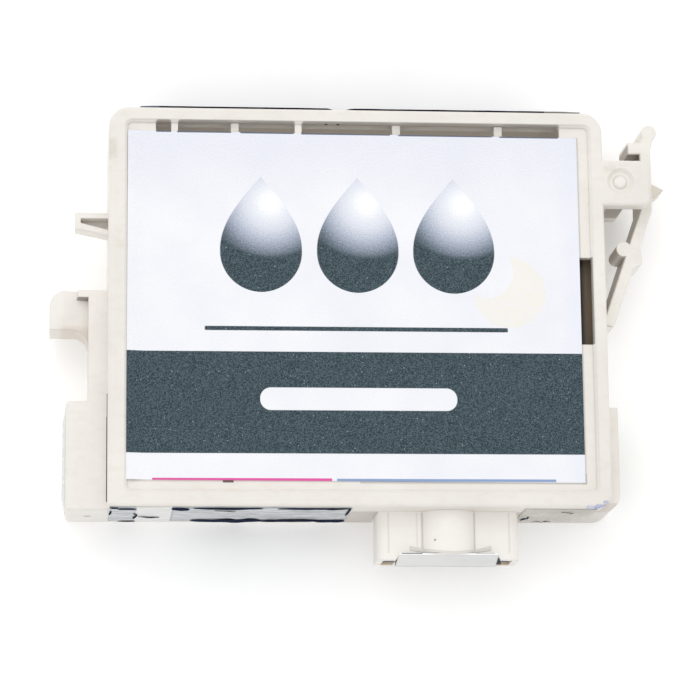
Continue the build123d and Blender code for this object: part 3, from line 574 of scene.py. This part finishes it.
def printed_label():
    """Coated paper with the whole print."""
    made, tree, shader, place = start_material("coated_paper_print", Roughness=0.6, IOR=1.25)
    split = add(tree, "SeparateXYZ", {0: place})
    x, y = split.outputs[0], split.outputs[1]
    specks = {"Vector": place, "Scale": SPECKS_PER_MM, "Detail": 2.0, "Roughness": 0.7}
    grain = add(tree, "TexNoise", specks).outputs[0]
    centred = add(tree, "Math", {0: grain, 1: 0.5}, operation="SUBTRACT").outputs[0]
    paper, slate = paper_colour(tree, place, grain), slate_ink(tree, place)

    layers = window_strips(tree, place) + [(stain(tree, place), "#F3EFE2")]
    for middle in DROP_X:
        off = add(tree, "Math", {0: x, 1: middle}, operation="SUBTRACT").outputs[0]
        shine, dark = drop_inks(tree, off, y, centred)
        layers.append((drop_outline(tree, off, y), lay(tree, shine, [(dark, slate)])))
    layers.append((field(tree, place, *RULE, corner=0.12, soft=0.08), slate))
    layers.append((field(tree, place, (-FAR, BAND_Y[0]), (FAR, BAND_Y[1]), soft=0.08), slate))
    layers.append((field(tree, place, *BAR, corner=1.3, soft=0.08), paper))
    layers.append((field(tree, place, *PINK_LINE, soft=0.06), "#E25FA6"))
    layers.append((field(tree, place, *BLUE_LINE, soft=0.06), "#8FA5CC"))
    tree.links.new(lay(tree, paper, layers), shader.inputs["Base Color"])
    bump = add(tree, "Bump", {"Strength": 0.1, "Distance": PAPER_DEEP_MM * MM, "Height": grain})
    tree.links.new(bump.outputs[0], shader.inputs["Normal"])
    return made


LABEL_PRINT = printed_label()
print("the label's shader has", len(LABEL_PRINT.node_tree.nodes), "nodes")

# %% [markdown]
# ## Films, rubber, steel and the board
# Sealing films are thin polyester and polypropylene foils, glossy and a little cloudy. Dried glue is as
# pale, but duller. Moulded rubber is near black and hardly shines, and moulded acetal is a waxy white.
# Drawn spring wire is bright steel. The steel mesh and the porous sheet have holes too small to show,
# so a coarser bump stands for them. The board is green laminate under a clear lacquer, with pads of
# gold plate and a chip under black cast resin. Most of these are hidden in the case, but they are real
# pieces and get their real finishes too. One function makes them all, because they differ only in
# colour, gloss and the scale of their bump.

# %% Plain finishes
RIPPLE_DEEP_MM = 0.05


def plain(name, low, high, roughness, bump=0.0, scale=1.0, edge=0.0, **finish):
    """A finish of two close colours in clouds, with a bump of its own scale in millimetres."""
    made, tree, shader, place = start_material(name, Roughness=roughness, **finish)
    tree.links.new(clouds(tree, place, low, high), shader.inputs["Base Color"])
    ripple = add(tree, "TexNoise", {"Vector": place, "Scale": 1 / scale, "Detail": 3.0}).outputs[0]
    spread = {"Value": ripple, "To Min": max(roughness - 0.06, 0.02), "To Max": roughness + 0.1}
    tree.links.new(add(tree, "MapRange", spread).outputs[0], shader.inputs["Roughness"])
    values = {"Strength": bump, "Distance": RIPPLE_DEEP_MM * MM, "Height": ripple}
    if edge:
        values["Normal"] = add(tree, "Bevel", {"Radius": edge * MM}, samples=6).outputs[0]
    tree.links.new(add(tree, "Bump", values).outputs[0], shader.inputs["Normal"])
    return made


CLEAR_FILM = plain("clear_sealing_foil", "#B9BBBE", "#CFCFCF", 0.3, bump=0.3, scale=2.5)
WHITE_FILM = plain("white_sealing_foil", "#D9DAD8", "#E2E2DF", 0.25, bump=0.2, scale=3.0)
GLUE = plain("dried_glue", "#DBD8D1", "#E2DFD9", 0.4, bump=0.2, scale=1.0)
GREY_FILM = plain("grey_sealing_foil", "#B9B5AE", "#D8D4CD", 0.45, bump=0.5, scale=1.2, IOR=1.35)
TRAPPED_INK = plain("trapped_ink", "#0B0D15", "#16294A", 0.8, bump=0.1, scale=0.8, IOR=1.12)
RUBBER = plain("moulded_rubber", "#1B1B1C", "#262627", 0.7, bump=0.3, scale=0.3, edge=0.1)
ACETAL = plain("moulded_acetal", "#D8D7D2", "#E4E3DE", 0.35, bump=0.2, scale=0.3, edge=0.1)
STEEL = plain("drawn_steel", "#9C9C9A", "#B2B1AE", 0.25, bump=0.2, scale=0.15, Metallic=1.0)
MESH = plain("woven_steel", "#8E8D89", "#A5A39E", 0.4, bump=0.8, scale=0.12, Metallic=1.0)
VENT = plain("porous_sheet", "#EDEDEB", "#F6F6F5", 0.85, bump=0.5, scale=0.1)
LAMINATE = plain("green_laminate", "#1E6B3C", "#2A7B48", 0.32, bump=0.3, scale=0.25, Coat_Weight=0.4)
GOLD = plain("gold_plate", "#D9AE5A", "#E8C478", 0.22, bump=0.3, scale=0.2, Metallic=1.0)
RESIN = plain("cast_resin", "#0E0E0F", "#171718", 0.3, bump=0.3, scale=0.6, edge=0.1)
print("finishes so far:", len(bpy.data.materials))

# %% [markdown]
# ## The chambers' foil
# The foil over the ink chambers is clear, so over ink it looks near black, and pale along its weld. A
# clear shader with ink behind it would take many light paths, for strips that are seen only through
# the narrow windows. So it is drawn as opaque, with one field for the weld and one for a browner end.

# %% Foil over ink
WELD_COLOUR = "#E6DDD0"


def ink_film():
    """The chambers' foil: near black over ink, browner to the right, bare along its lower weld."""
    made, tree, shader, place = start_material("foil_over_ink", Roughness=0.25, IOR=1.35)
    browner = field(tree, place, (29.1, -6.0), (30.0, 8.0), soft=0.9)
    weld = field(tree, place, (-30.0, -25.0), (30.0, -21.25), soft=0.1)
    ink = clouds(tree, place, "#12141D", "#1E1C20")
    colour = lay(tree, ink, [(browner, "#94836F"), (weld, WELD_COLOUR)])
    tree.links.new(colour, shader.inputs["Base Color"])
    # a faint painted glow on the bare weld
    tree.links.new(faded(tree, weld, 2 * PAINTED_GLOW), shader.inputs["Emission Strength"])
    shader.inputs["Emission Color"].default_value = linear(WELD_COLOUR)
    return made


INK_FILM = ink_film()
print(INK_FILM.name, "has", len(INK_FILM.node_tree.nodes), "nodes")

# %% [markdown]
# ## The channel's foil
# The foil on the left of the outlet side is silvery, with streaks along it from the rolls that it was
# drawn through. A noise that is stretched along the foil gives them, and fields give a whiter patch
# and the seam between two welds.

# %% Channel foil
FOIL_STRETCH = (0.25, 1.0, 1.4)


def channel_foil():
    """The foil over the channel: grey streaks along it, a whiter patch and a seam of two welds."""
    made, tree, shader, place = start_material("channel_foil", Roughness=0.32)
    long_way = add(tree, "Mapping", {"Vector": place, "Scale": FOIL_STRETCH}).outputs[0]
    flow = {"Vector": long_way, "Scale": STREAKS_PER_MM, "Detail": 5.0, "Roughness": 0.7}
    flow = add(tree, "TexNoise", flow).outputs[0]
    streak = add(tree, "MapRange", {"Value": flow, "From Min": 0.4, "From Max": 0.62}).outputs[0]
    patch = field(tree, place, (-27.4, -30.0), (-23.1, 0.0), soft=0.1)
    seam = field(tree, place, (-23.1, -30.0), (-22.9, 0.0), soft=0.06)
    layers = [(streak, "#D6D8DA"), (faded(tree, patch, 0.75), "#F0EFEC")]
    layers.append((faded(tree, seam, 0.6), "#84888D"))
    tree.links.new(lay(tree, linear("#9DA2A9"), layers), shader.inputs["Base Color"])
    return made


CHANNEL_FOIL = channel_foil()
print(CHANNEL_FOIL.name, "has", len(CHANNEL_FOIL.node_tree.nodes), "nodes")

# %% [markdown]
# ## The outlet's panel
# The seal over the outlet is white foil. A painted highlight lies where it is folded over at its top,
# and it is a little greyer low down. Behind the fold show two dark gaps in shade, which are too narrow
# to be worth cutting out, so their shadow is painted on the sheet.

# %% Outlet panel
FOLD_Z = 9.6
FOLD_GAP_SHADOWS = [(5.1, 7.6, 0.95), (14.3, 16.6, 0.4)]


def outlet_foil():
    """The panel over the outlet: a painted highlight on its upper fold, painted shadow in the gaps behind
    it and a greyer lower part.
    """
    made, tree, shader, place = start_material("white_sealing_panel", Roughness=0.35)
    # painted highlight on the fold at the top
    fold_highlight = field(tree, place, (0.0, -30.7, FOLD_Z), (30.0, 0.0), soft=0.04)
    low = field(tree, place, (6.0, -40.0, 0.0), (15.5, 0.0, 6.5), soft=0.5)
    layers = [(faded(tree, low, 0.5), "#C9CACA"), (fold_highlight, "#FFFFFF")]
    # painted shadow in each gap behind the fold
    for left, right, share in FOLD_GAP_SHADOWS:
        gap_shadow = field(tree, place, (left, -30.58, 9.5), (right, 0.0), soft=0.04)
        layers.append((faded(tree, gap_shadow, share), "#2A3040"))
    white = clouds(tree, place, "#DADBDB", "#E6E6E4")
    tree.links.new(lay(tree, white, layers), shader.inputs["Base Color"])
    return made


OUTLET_FOIL = outlet_foil()
print(OUTLET_FOIL.name, "has", len(FOLD_GAP_SHADOWS), "gaps")

# %% [markdown]
# ## The dark strip's print
# The strip on the top side is printed near black. Its left end has faded to a pale blue and its right
# end to grey, each a field that goes on past the strip's own end.

# %% Dark strip


def top_foil():
    """The label on the top side: dark print, paler and bluer at its left end, grey at its right."""
    made, tree, shader, place = start_material("printed_foil_dark", Roughness=0.5, IOR=1.2)
    left = field(tree, place, (-FAR, 0.0), (-25.0, FAR), soft=0.6)
    right = field(tree, place, (23.9, 0.0), (FAR, FAR), soft=0.3)
    dark = clouds(tree, place, "#141722", "#262C3E")
    tree.links.new(lay(tree, dark, [(left, "#7F889D"), (right, "#B7B5B1")]), shader.inputs["Base Color"])
    return made


DARK_FOIL = top_foil()
print("finishes in all:", len(bpy.data.materials))

# %% [markdown]
# ## Dressing the CAD nodes
# A CAD node keeps its mesh. Only its material changes, so one table from node to material does it.

# %% Materials on the CAD nodes
DRESS = {
    "case": CASE_PLASTIC,
    "cover": COVER_PLASTIC,
    "latch_lever": LEVER_PLASTIC,
    "front_label": LABEL_PRINT,
    "top_label": DARK_FOIL,
    "chamber_film": INK_FILM,
    "rear_film": CLEAR_FILM,
    "channel_film": CLEAR_FILM,
    "port_side_film": GREY_FILM,
    "outlet_film": OUTLET_FOIL,
    "outlet_seal": RUBBER,
    "outlet_poppet": ACETAL,
    "outlet_spring": STEEL,
    "ink_filter": MESH,
    "regulator_membrane": RUBBER,
    "regulator_spring": STEEL,
    "regulator_cap": ACETAL,
    "air_valve_seal": RUBBER,
    "air_valve_poppet": ACETAL,
    "air_valve_spring": STEEL,
    "air_valve_film": WHITE_FILM,
    "vent_membrane": VENT,
    "memory_board": LAMINATE,
    "board_contacts": GOLD,
    "memory_chip": RESIN,
}
for name, material in DRESS.items():
    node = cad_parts[name]
    if not node.material_slots:
        node.data.materials.append(material)
    for holder in node.material_slots:
        holder.material = material
print("dressed", len(DRESS), "nodes")

# %% [markdown]
# ## Wrinkled films
# A foil welded along its edge puckers between the welds. A cloth simulation could pucker it, but takes
# long and is hard to steer. So a grid made by bmesh is bent onto its surface point by point, each point
# pushed out by a smooth noise, and the solidify operator gives it its thickness. The noise draws no
# random numbers, so every run gives the same film.

# %% A film from a grid
FOIL_MM = 0.06


def film(name, columns, rows, surface, material, thickness=FOIL_MM):
    """A thin sheet: surface(u, v) gives the place in mm of a point, for u and v from 0 to 1."""
    mesh = bmesh.new()
    bmesh.ops.create_grid(mesh, x_segments=columns, y_segments=rows, size=0.5)
    for point in mesh.verts:
        point.co = Vector(surface(point.co.x + 0.5, point.co.y + 0.5)) * MM
    bmesh.ops.recalc_face_normals(mesh, faces=mesh.faces)
    bmesh.ops.solidify(mesh, geom=mesh.faces, thickness=thickness * MM)
    bmesh.ops.recalc_face_normals(mesh, faces=mesh.faces)
    data = bpy.data.meshes.new(name)
    mesh.to_mesh(data)
    mesh.free()
    data.shade_smooth()
    data.materials.append(material)
    piece = bpy.data.objects.new(name, data)
    bpy.context.scene.collection.objects.link(piece)
    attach(piece, "cartridge")
    return piece


def pucker(x, y, size, height):
    """A smooth wrinkle height in mm for a place in mm."""
    return height * noise.fractal(Vector((x / size, y / size, 3.7)), 1.0, 2.0, 3)


print("foil", FOIL_MM, "mm thick")

# %% [markdown]
# ## The label's sheet
# The label was stuck on by hand, a little turned and too far to the left. Its upper edge hangs over
# the windows, and its left edge has climbed onto the rim, so the paper bridges from there down to the
# recess. The grid has fine columns at the left for that, and its points follow the four corners.

# %% Label sheet
LABEL_Z = (11.92, 12.22)
LABEL_CLIMB = (0.05, 2.4)
LABEL_THICK = 0.12


def label_surface(u, v):
    """The label's upper face: its place between the corners, and its climb at the left."""
    across = u * u
    left_x, left_y = (span(pair, v) for pair in zip(*LABEL_LEFT))
    right_x, right_y = (span(pair, v) for pair in zip(*LABEL_RIGHT))
    x, y = span((left_x, right_x), across), span((left_y, right_y), across)
    down = min(1.0, max(0.0, (x - left_x - LABEL_CLIMB[0]) / (LABEL_CLIMB[1] - LABEL_CLIMB[0])))
    return x, y, span(LABEL_Z, 1 - down * down * (3 - 2 * down))


label = film("front_label_dressed", 60, 1, label_surface, LABEL_PRINT, thickness=LABEL_THICK)
label.data.shade_flat()
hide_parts("front_label")
heights = [corner.co.z / MM for corner in label.data.vertices]
print(label.name, "lies from", round(min(heights), 3), "to", round(max(heights), 3), "mm")

# %% [markdown]
# ## The film on the left of the outlet side
# This film closes an air channel in the case's edge. It is welded all round, so it stands off only
# inside its edge, and wrinkles there. Dark ink has crept under it along both long welds and shows as
# thin black-blue ribbons.

# %% Channel film
SIDE_Y = -25.2
FILM_GAP = 0.08
CHANNEL_X = (-30.75, -1.2)
CHANNEL_Z = (1.1, 12.1)
CHANNEL_BULGE = 0.05
CHANNEL_WRINKLES = (3.2, 0.14)


def rise(value, low, high, over):
    """0 at both ends of a stretch, 1 from a distance of over inside it."""
    return max(0.0, min(1.0, (value - low) / over, (high - value) / over))


def channel_place(x, z):
    """How far out the film stands at x and z."""
    free = rise(x, *CHANNEL_X, 1.0) * rise(z, *CHANNEL_Z, 1.5)
    out = CHANNEL_BULGE + abs(pucker(x, z, *CHANNEL_WRINKLES))
    return x, SIDE_Y - FILM_GAP - free * out, z


def channel_surface(u, v):
    """The same place from shares of the film's length and height."""
    return channel_place(span(CHANNEL_X, u), span(CHANNEL_Z, v))


channel = film("channel_film_dressed", 150, 24, channel_surface, CHANNEL_FOIL)
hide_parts("channel_film")
print(channel.name, len(channel.data.polygons), "faces")

# %% [markdown]
# ## Ink under the film
# Each ribbon of trapped ink is a flat grid that is made oval, stretched to its length, turned and
# pressed onto the film's own wrinkles. A noise makes its edges ragged. Fields could draw ribbons too,
# but ragged ovals at all angles are easier as sheets. The film is drawn opaque, so they lie just
# outside it.

# %% Ribbons of trapped ink
RIBBONS = [
    (-30.2, 11.95, 0.55, 0.5, 0),
    (-28.6, 11.2, 1.2, 0.35, -2),
    (-22.1, 11.3, 1.1, 0.9, -4),
    (-16.3, 11.85, 4.3, 0.6, -1),
    (-16.6, 10.4, 1.3, 0.2, 3),
    (-5.7, 11.75, 4.6, 0.45, 1),
    (-1.4, 9.2, 2.9, 0.13, 88),
    (-28.5, 1.6, 1.1, 0.5, 0),
    (-16.2, 2.3, 4.4, 1.4, 0),
    (-13.4, 3.0, 1.5, 1.2, 12),
    (-8.3, 2.6, 4.6, 1.1, 1),
    (-3.2, 2.2, 2.0, 1.3, -4),
    (-30.6, 8.0, 1.6, 0.13, 87),
    (-27.5, 7.2, 0.9, 0.13, -75),
    (-27.5, 5.2, 1.3, 0.13, 80),
    (-25.8, 5.3, 1.4, 0.3, -16),
]
INK_LIFT = 0.05
INK_THICK = 0.04
INK_RAGGED = 0.5
MERGE_MM = 0.001


def ribbons(name, spots, surface):
    """Lens-shaped streaks of ink laid on a film: middle x and z, half length, half width, tilt."""
    mesh = bmesh.new()
    for x, z, long_half, wide_half, tilt in spots:
        turn = math.radians(tilt)
        streak = bmesh.ops.create_grid(mesh, x_segments=40, y_segments=4, size=1.0)["verts"]
        for point in streak:
            along_it = point.co.x * long_half
            ragged = 1 + INK_RAGGED * noise.noise(Vector((x + 0.55 * along_it, z, 4 * point.co.y)))
            across = point.co.y * wide_half * ragged * max(0.0, 1 - point.co.x**2) ** 0.5
            px = x + along_it * math.cos(turn) - across * math.sin(turn)
            pz = min(z + along_it * math.sin(turn) + across * math.cos(turn), CHANNEL_Z[1])
            px, py, pz = surface(px, pz)
            point.co = Vector((px, py - FOIL_MM - INK_LIFT, pz)) * MM
    bmesh.ops.remove_doubles(mesh, verts=mesh.verts, dist=MERGE_MM * MM)
    bmesh.ops.solidify(mesh, geom=mesh.faces, thickness=INK_THICK * MM)
    bmesh.ops.recalc_face_normals(mesh, faces=mesh.faces)
    data = bpy.data.meshes.new(name)
    mesh.to_mesh(data)
    mesh.free()
    data.materials.append(TRAPPED_INK)
    piece = bpy.data.objects.new(name, data)
    bpy.context.scene.collection.objects.link(piece)
    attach(piece, "cartridge")
    return piece


channel_ink = ribbons("channel_film_ink", RIBBONS, channel_place)
print(channel_ink.name, "has", len(RIBBONS), "ribbons and", len(channel_ink.data.polygons), "faces")

# %% [markdown]
# ## The film right of the outlet
# A shorter foil covers the end of a second channel here. It has come loose and crumpled, so its
# wrinkles are smaller and deeper. A little ink has crept under it too.

# %% Port side film
PORT_X = (20.3, 29.3)
PORT_Z = (1.7, 11.3)
PORT_BULGE = 0.06
PORT_WRINKLES = (1.5, 0.3)
PORT_INK = [(25.75, 10.0, 0.75, 0.1, 0), (21.1, 4.9, 1.5, 0.14, 75), (23.6, 2.6, 1.2, 0.14, 5)]


def port_side_place(x, z):
    """How far out the crumpled foil stands at x and z."""
    free = rise(x, *PORT_X, 1.2) * rise(z, *PORT_Z, 1.2)
    out = PORT_BULGE + abs(pucker(x, z, *PORT_WRINKLES))
    return x, SIDE_Y - FILM_GAP - free * out, z


def port_side_surface(u, v):
    """The same place from shares of the foil's length and height."""
    return port_side_place(span(PORT_X, u), span(PORT_Z, v))


port_side = film("port_side_film_dressed", 70, 60, port_side_surface, GREY_FILM)
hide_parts("port_side_film")
port_side_ink = ribbons("port_side_ink", PORT_INK, port_side_place)
for piece in (port_side, port_side_ink):
    print(piece.name, len(piece.data.polygons), "faces")

# %% [markdown]
# ## The label on the top side
# A dark strip is stuck to the top side. Its upper edge curls off a little, so that a thin black line
# shows above the cover. Just left of the middle that edge dips over three millimetres.

# %% Top label
TOP_X = (-27.1, 28.3)
TOP_Z = (0.6, 12.15)
TOP_Y = 25.26
TOP_CURL = 0.06
TOP_RIPPLE = 0.02
TOP_DIP_X = -2.15
TOP_DIP_HALF = 1.5
TOP_DIP_DEEP = 0.75
TOP_THICK = 0.05


def top_surface(u, v):
    """The dark label: flat on the side, its upper edge curled outwards but for a short dip."""
    x = span(TOP_X, u)
    dip = max(0.0, 1 - ((x - TOP_DIP_X) / TOP_DIP_HALF) ** 2)
    curl = TOP_CURL * max(0.0, 1 - (1 - v) * 6) ** 2 * rise(u, 0, 1, 0.04) * (1 - dip)
    ripple = TOP_RIPPLE * noise.noise(Vector((x / 3, 7 * v, 1)))
    return x, TOP_Y + curl + ripple, span(TOP_Z, v) - TOP_DIP_DEEP * dip * v**4


top_strip = film("top_label_dressed", 120, 30, top_surface, DARK_FOIL, thickness=TOP_THICK)
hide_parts("top_label")
print(top_strip.name, len(top_strip.data.polygons), "faces")

# %% [markdown]
# ## The film over the air valve
# A white film closes the left side of the air valve's block. It is welded along its edge and bulges
# out between the welds, more so towards the outlet side. It is made as the channel's film is, with
# longer and lower wrinkles.

# %% Air valve film
VALVE_X = -36.14
VALVE_Y = (-24.75, -12.1)
VALVE_Z = (1.4, 7.4)
VALVE_BULGE = (0.4, 0.3)
VALVE_WRINKLES = (2.5, 0.06)


def valve_surface(u, v):
    """The film on the block's left side: welded along its edge, bulging in between."""
    free = rise(u, 0, 1, 0.12) * rise(v, 0, 1, 0.2)
    y, z = span(VALVE_Y, u), span(VALVE_Z, v)
    return VALVE_X - free * (span(VALVE_BULGE, u) + pucker(y, z, *VALVE_WRINKLES)), y, z


valve_film = film("air_valve_film_dressed", 60, 24, valve_surface, WHITE_FILM)
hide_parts("air_valve_film")
print(valve_film.name, len(valve_film.data.polygons), "faces")

# %% [markdown]
# ## The seal over the ink outlet
# A white foil is welded over the outlet so that no ink leaks before the cartridge is used. Between
# the two legs it stands off in a flat slanted panel, which follows a short path of points from its top
# edge down to its foot on the barrel's end.

# %% Outlet seal
SEAL_X = (4.85, 17.1)
SEAL_PATH = [(-30.5, 9.76), (-30.7, 9.7), (-31.68, 6.5), (-31.45, 6.15), (-30.62, 5.0), (-30.52, 3.7)]
SEAL_BOW = 0.25
SEAL_WRINKLES = (6.0, 0.03)


def along(path, share):
    """A place on a path of points, by its share of the number of stretches."""
    at = share * (len(path) - 1)
    first = min(int(at), len(path) - 2)
    return [span(pair, at - first) for pair in zip(path[first], path[first + 1])]


def seal_surface(u, v):
    """The panel from its top edge (v 0) down to its foot (v 1), its left edge bowed out."""
    x = span(SEAL_X, u) - SEAL_BOW * rise(v, 0, 1, 0.4) * (1 - u)
    y, z = along(SEAL_PATH, v)
    free = min(1.0, 4 * v, 5 * (1 - v))
    return x, y + pucker(x * 0.5, 14 * v, *SEAL_WRINKLES) * free, z


seal_foil = film("outlet_film_dressed", 60, 50, seal_surface, OUTLET_FOIL)
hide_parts("outlet_film")
print(seal_foil.name, len(seal_foil.data.polygons), "faces")

# %% [markdown]
# ## Glue on the outlet
# Where the seal was pressed on, a strip of glue has run over the front of the outlet housing in a
# shallow V. It is a grid that lies on the flat wings and climbs over the round barrel between them.

# %% Strip of glue
OUTLET_X = 11.0
BARREL_Z = 7.0
BARREL_R = 3.7
WING_Z = 8.8
GLUE_X = OUTLET_X + 0.25
GLUE_HALF = 5.05
GLUE_Y = -30.6
GLUE_DIP = 0.85
GLUE_WIDE = 0.3
GLUE_LIFT = 0.025
GLUE_THICK = 0.02


def glue_surface(u, v):
    """The strip lies on wings and barrel, dips in the middle and is widest at its ends."""
    off = 2 * u - 1
    x = GLUE_X + GLUE_HALF * off
    wide = GLUE_WIDE * (1 + off * off)
    y = GLUE_Y + GLUE_DIP * abs(off) ** 1.3 - wide * (v - 0.5)
    barrel = BARREL_Z + math.sqrt(max(0.0, BARREL_R**2 - (x - OUTLET_X) ** 2))
    return x, y, max(WING_Z, barrel) + GLUE_LIFT


glue = film("outlet_film_glue", 80, 4, glue_surface, GLUE, thickness=GLUE_THICK)
print(glue.name, len(glue.data.polygons), "faces")

# %% [markdown]
# ## The table
# The cartridge lies on a white table. It is one large square just under the part, and glows a little,
# so that it looks as white as a photographer's table and still shows the part's shadow.

# %% Floor
FLOOR_HALF = 3.0
FLOOR_DROP_MM = 0.02
FLOOR_GLOW = 0.12
sheet = bmesh.new()
bmesh.ops.create_grid(sheet, x_segments=1, y_segments=1, size=FLOOR_HALF)
floor_mesh = bpy.data.meshes.new("floor")
sheet.to_mesh(floor_mesh)
sheet.free()
floor = bpy.data.objects.new("floor", floor_mesh)
floor.location.z = -FLOOR_DROP_MM * MM
bpy.context.scene.collection.objects.link(floor)
floor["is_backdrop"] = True
white_table, tree, shader, place = start_material("white_table", Roughness=0.9)
shader.inputs["Emission Color"].default_value = linear("#FFFFFF")
shader.inputs["Emission Strength"].default_value = FLOOR_GLOW
tree.links.new(clouds(tree, place, "#FBFBFB", "#FEFEFE"), shader.inputs["Base Color"])
floor_mesh.materials.append(white_table)
print("floor", 2 * FLOOR_HALF, "m wide")

# %% [markdown]
# ## A white room
# A bright world gives most of the light, more from above and a little more from the north, as in a
# white room with a window. The camera and mirrors see it as pure white, whatever light it gives.

# %% World
FILL = 0.985
HORIZON = 0.7
ZENITH = 1.14
NORTH = 0.14
world = bpy.data.worlds.new("white_room")
world.use_nodes = True
bpy.context.scene.world = world
tree = world.node_tree
sky = add(tree, "SeparateXYZ", {0: add(tree, "TexCoord").outputs["Generated"]}).outputs
dome = add(tree, "MapRange", {"Value": sky[2], "To Min": FILL * HORIZON, "To Max": FILL * ZENITH})
north = add(tree, "Math", {0: sky[1], 1: NORTH, 2: 1.0}, operation="MULTIPLY_ADD")
dome = add(tree, "Math", {0: dome.outputs[0], 1: north.outputs[0]}, operation="MULTIPLY")
seen = add(tree, "LightPath")
direct = seen.outputs["Is Camera Ray"]
for ray in ("Is Glossy Ray", "Is Transmission Ray"):
    direct = add(tree, "Math", {0: direct, 1: seen.outputs[ray]}, operation="MAXIMUM").outputs[0]
strength = add(tree, "Mix", {0: direct, 2: dome.outputs[0], 3: 1.0}, data_type="FLOAT")
tree.links.new(strength.outputs[0], tree.nodes["Background"].inputs["Strength"])
tree.nodes["Background"].inputs["Color"].default_value = (1, 1, 1, 1)
print("the room is", round(ZENITH / HORIZON, 2), "times as bright above as at the horizon")

# %% [markdown]
# ## One soft light
# A large square light stands up at the left and behind, so the shade falls below and to the right.

# %% Key light
KEY_WATT = 0.66
KEY_SIZE = 0.5
KEY_PLACE = (-0.25, 0.45, 0.65)
lamp = bpy.data.lights.new("key_light", "AREA")
lamp.size = KEY_SIZE
lamp.energy = KEY_WATT
key = bpy.data.objects.new("key_light", lamp)
key.location = KEY_PLACE
key.rotation_euler = (-key.location).to_track_quat("-Z", "Y").to_euler()
bpy.context.scene.collection.objects.link(key)
print("key light", round(key.location.length, 2), "m away")

# %% [markdown]
# ## Camera
# The photo was taken from almost straight above, a little from the left and from below, about 40 cm
# away. Its place in millimetres and its turns in radians, about its own axes, come from matching the
# outline of the case with the photograph.

# %% Camera
CAMERA_PLACE = (-36.741, -85.548, 390.801)
CAMERA_TURNS = [(0.208115, "X"), (-0.091532, "Y"), (0.007548, "Z")]
LENS_MM = 161.93
SENSOR_MM = 36.0
CLIP_START = 0.01
lens = bpy.data.cameras.new("photo_camera")
lens.lens = LENS_MM
lens.sensor_width = SENSOR_MM
lens.sensor_fit = "HORIZONTAL"
lens.clip_start = CLIP_START
camera = bpy.data.objects.new("photo_camera", lens)
camera.matrix_world = Matrix.Translation(Vector(CAMERA_PLACE) * MM)
for angle, axis in CAMERA_TURNS:
    camera.matrix_world = camera.matrix_world @ Matrix.Rotation(angle, 4, axis)
bpy.context.scene.collection.objects.link(camera)
bpy.context.scene.camera = camera
bpy.context.scene.view_settings.view_transform = "Standard"
print("camera", round(Vector(CAMERA_PLACE).length), "mm away, lens", LENS_MM, "mm")

# %% [markdown]
# The dressed model has to be as large as the CAD model. The boxes of the CAD model and of the
# dressed model are written out side by side.

# %% Write the sizes
LOW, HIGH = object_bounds()
for axis, a, b, c, d in zip("XYZ", CAD_LOW, CAD_HIGH, LOW, HIGH):
    print(axis, "CAD", round((b - a) / MM, 2), "dressed", round((d - c) / MM, 2))
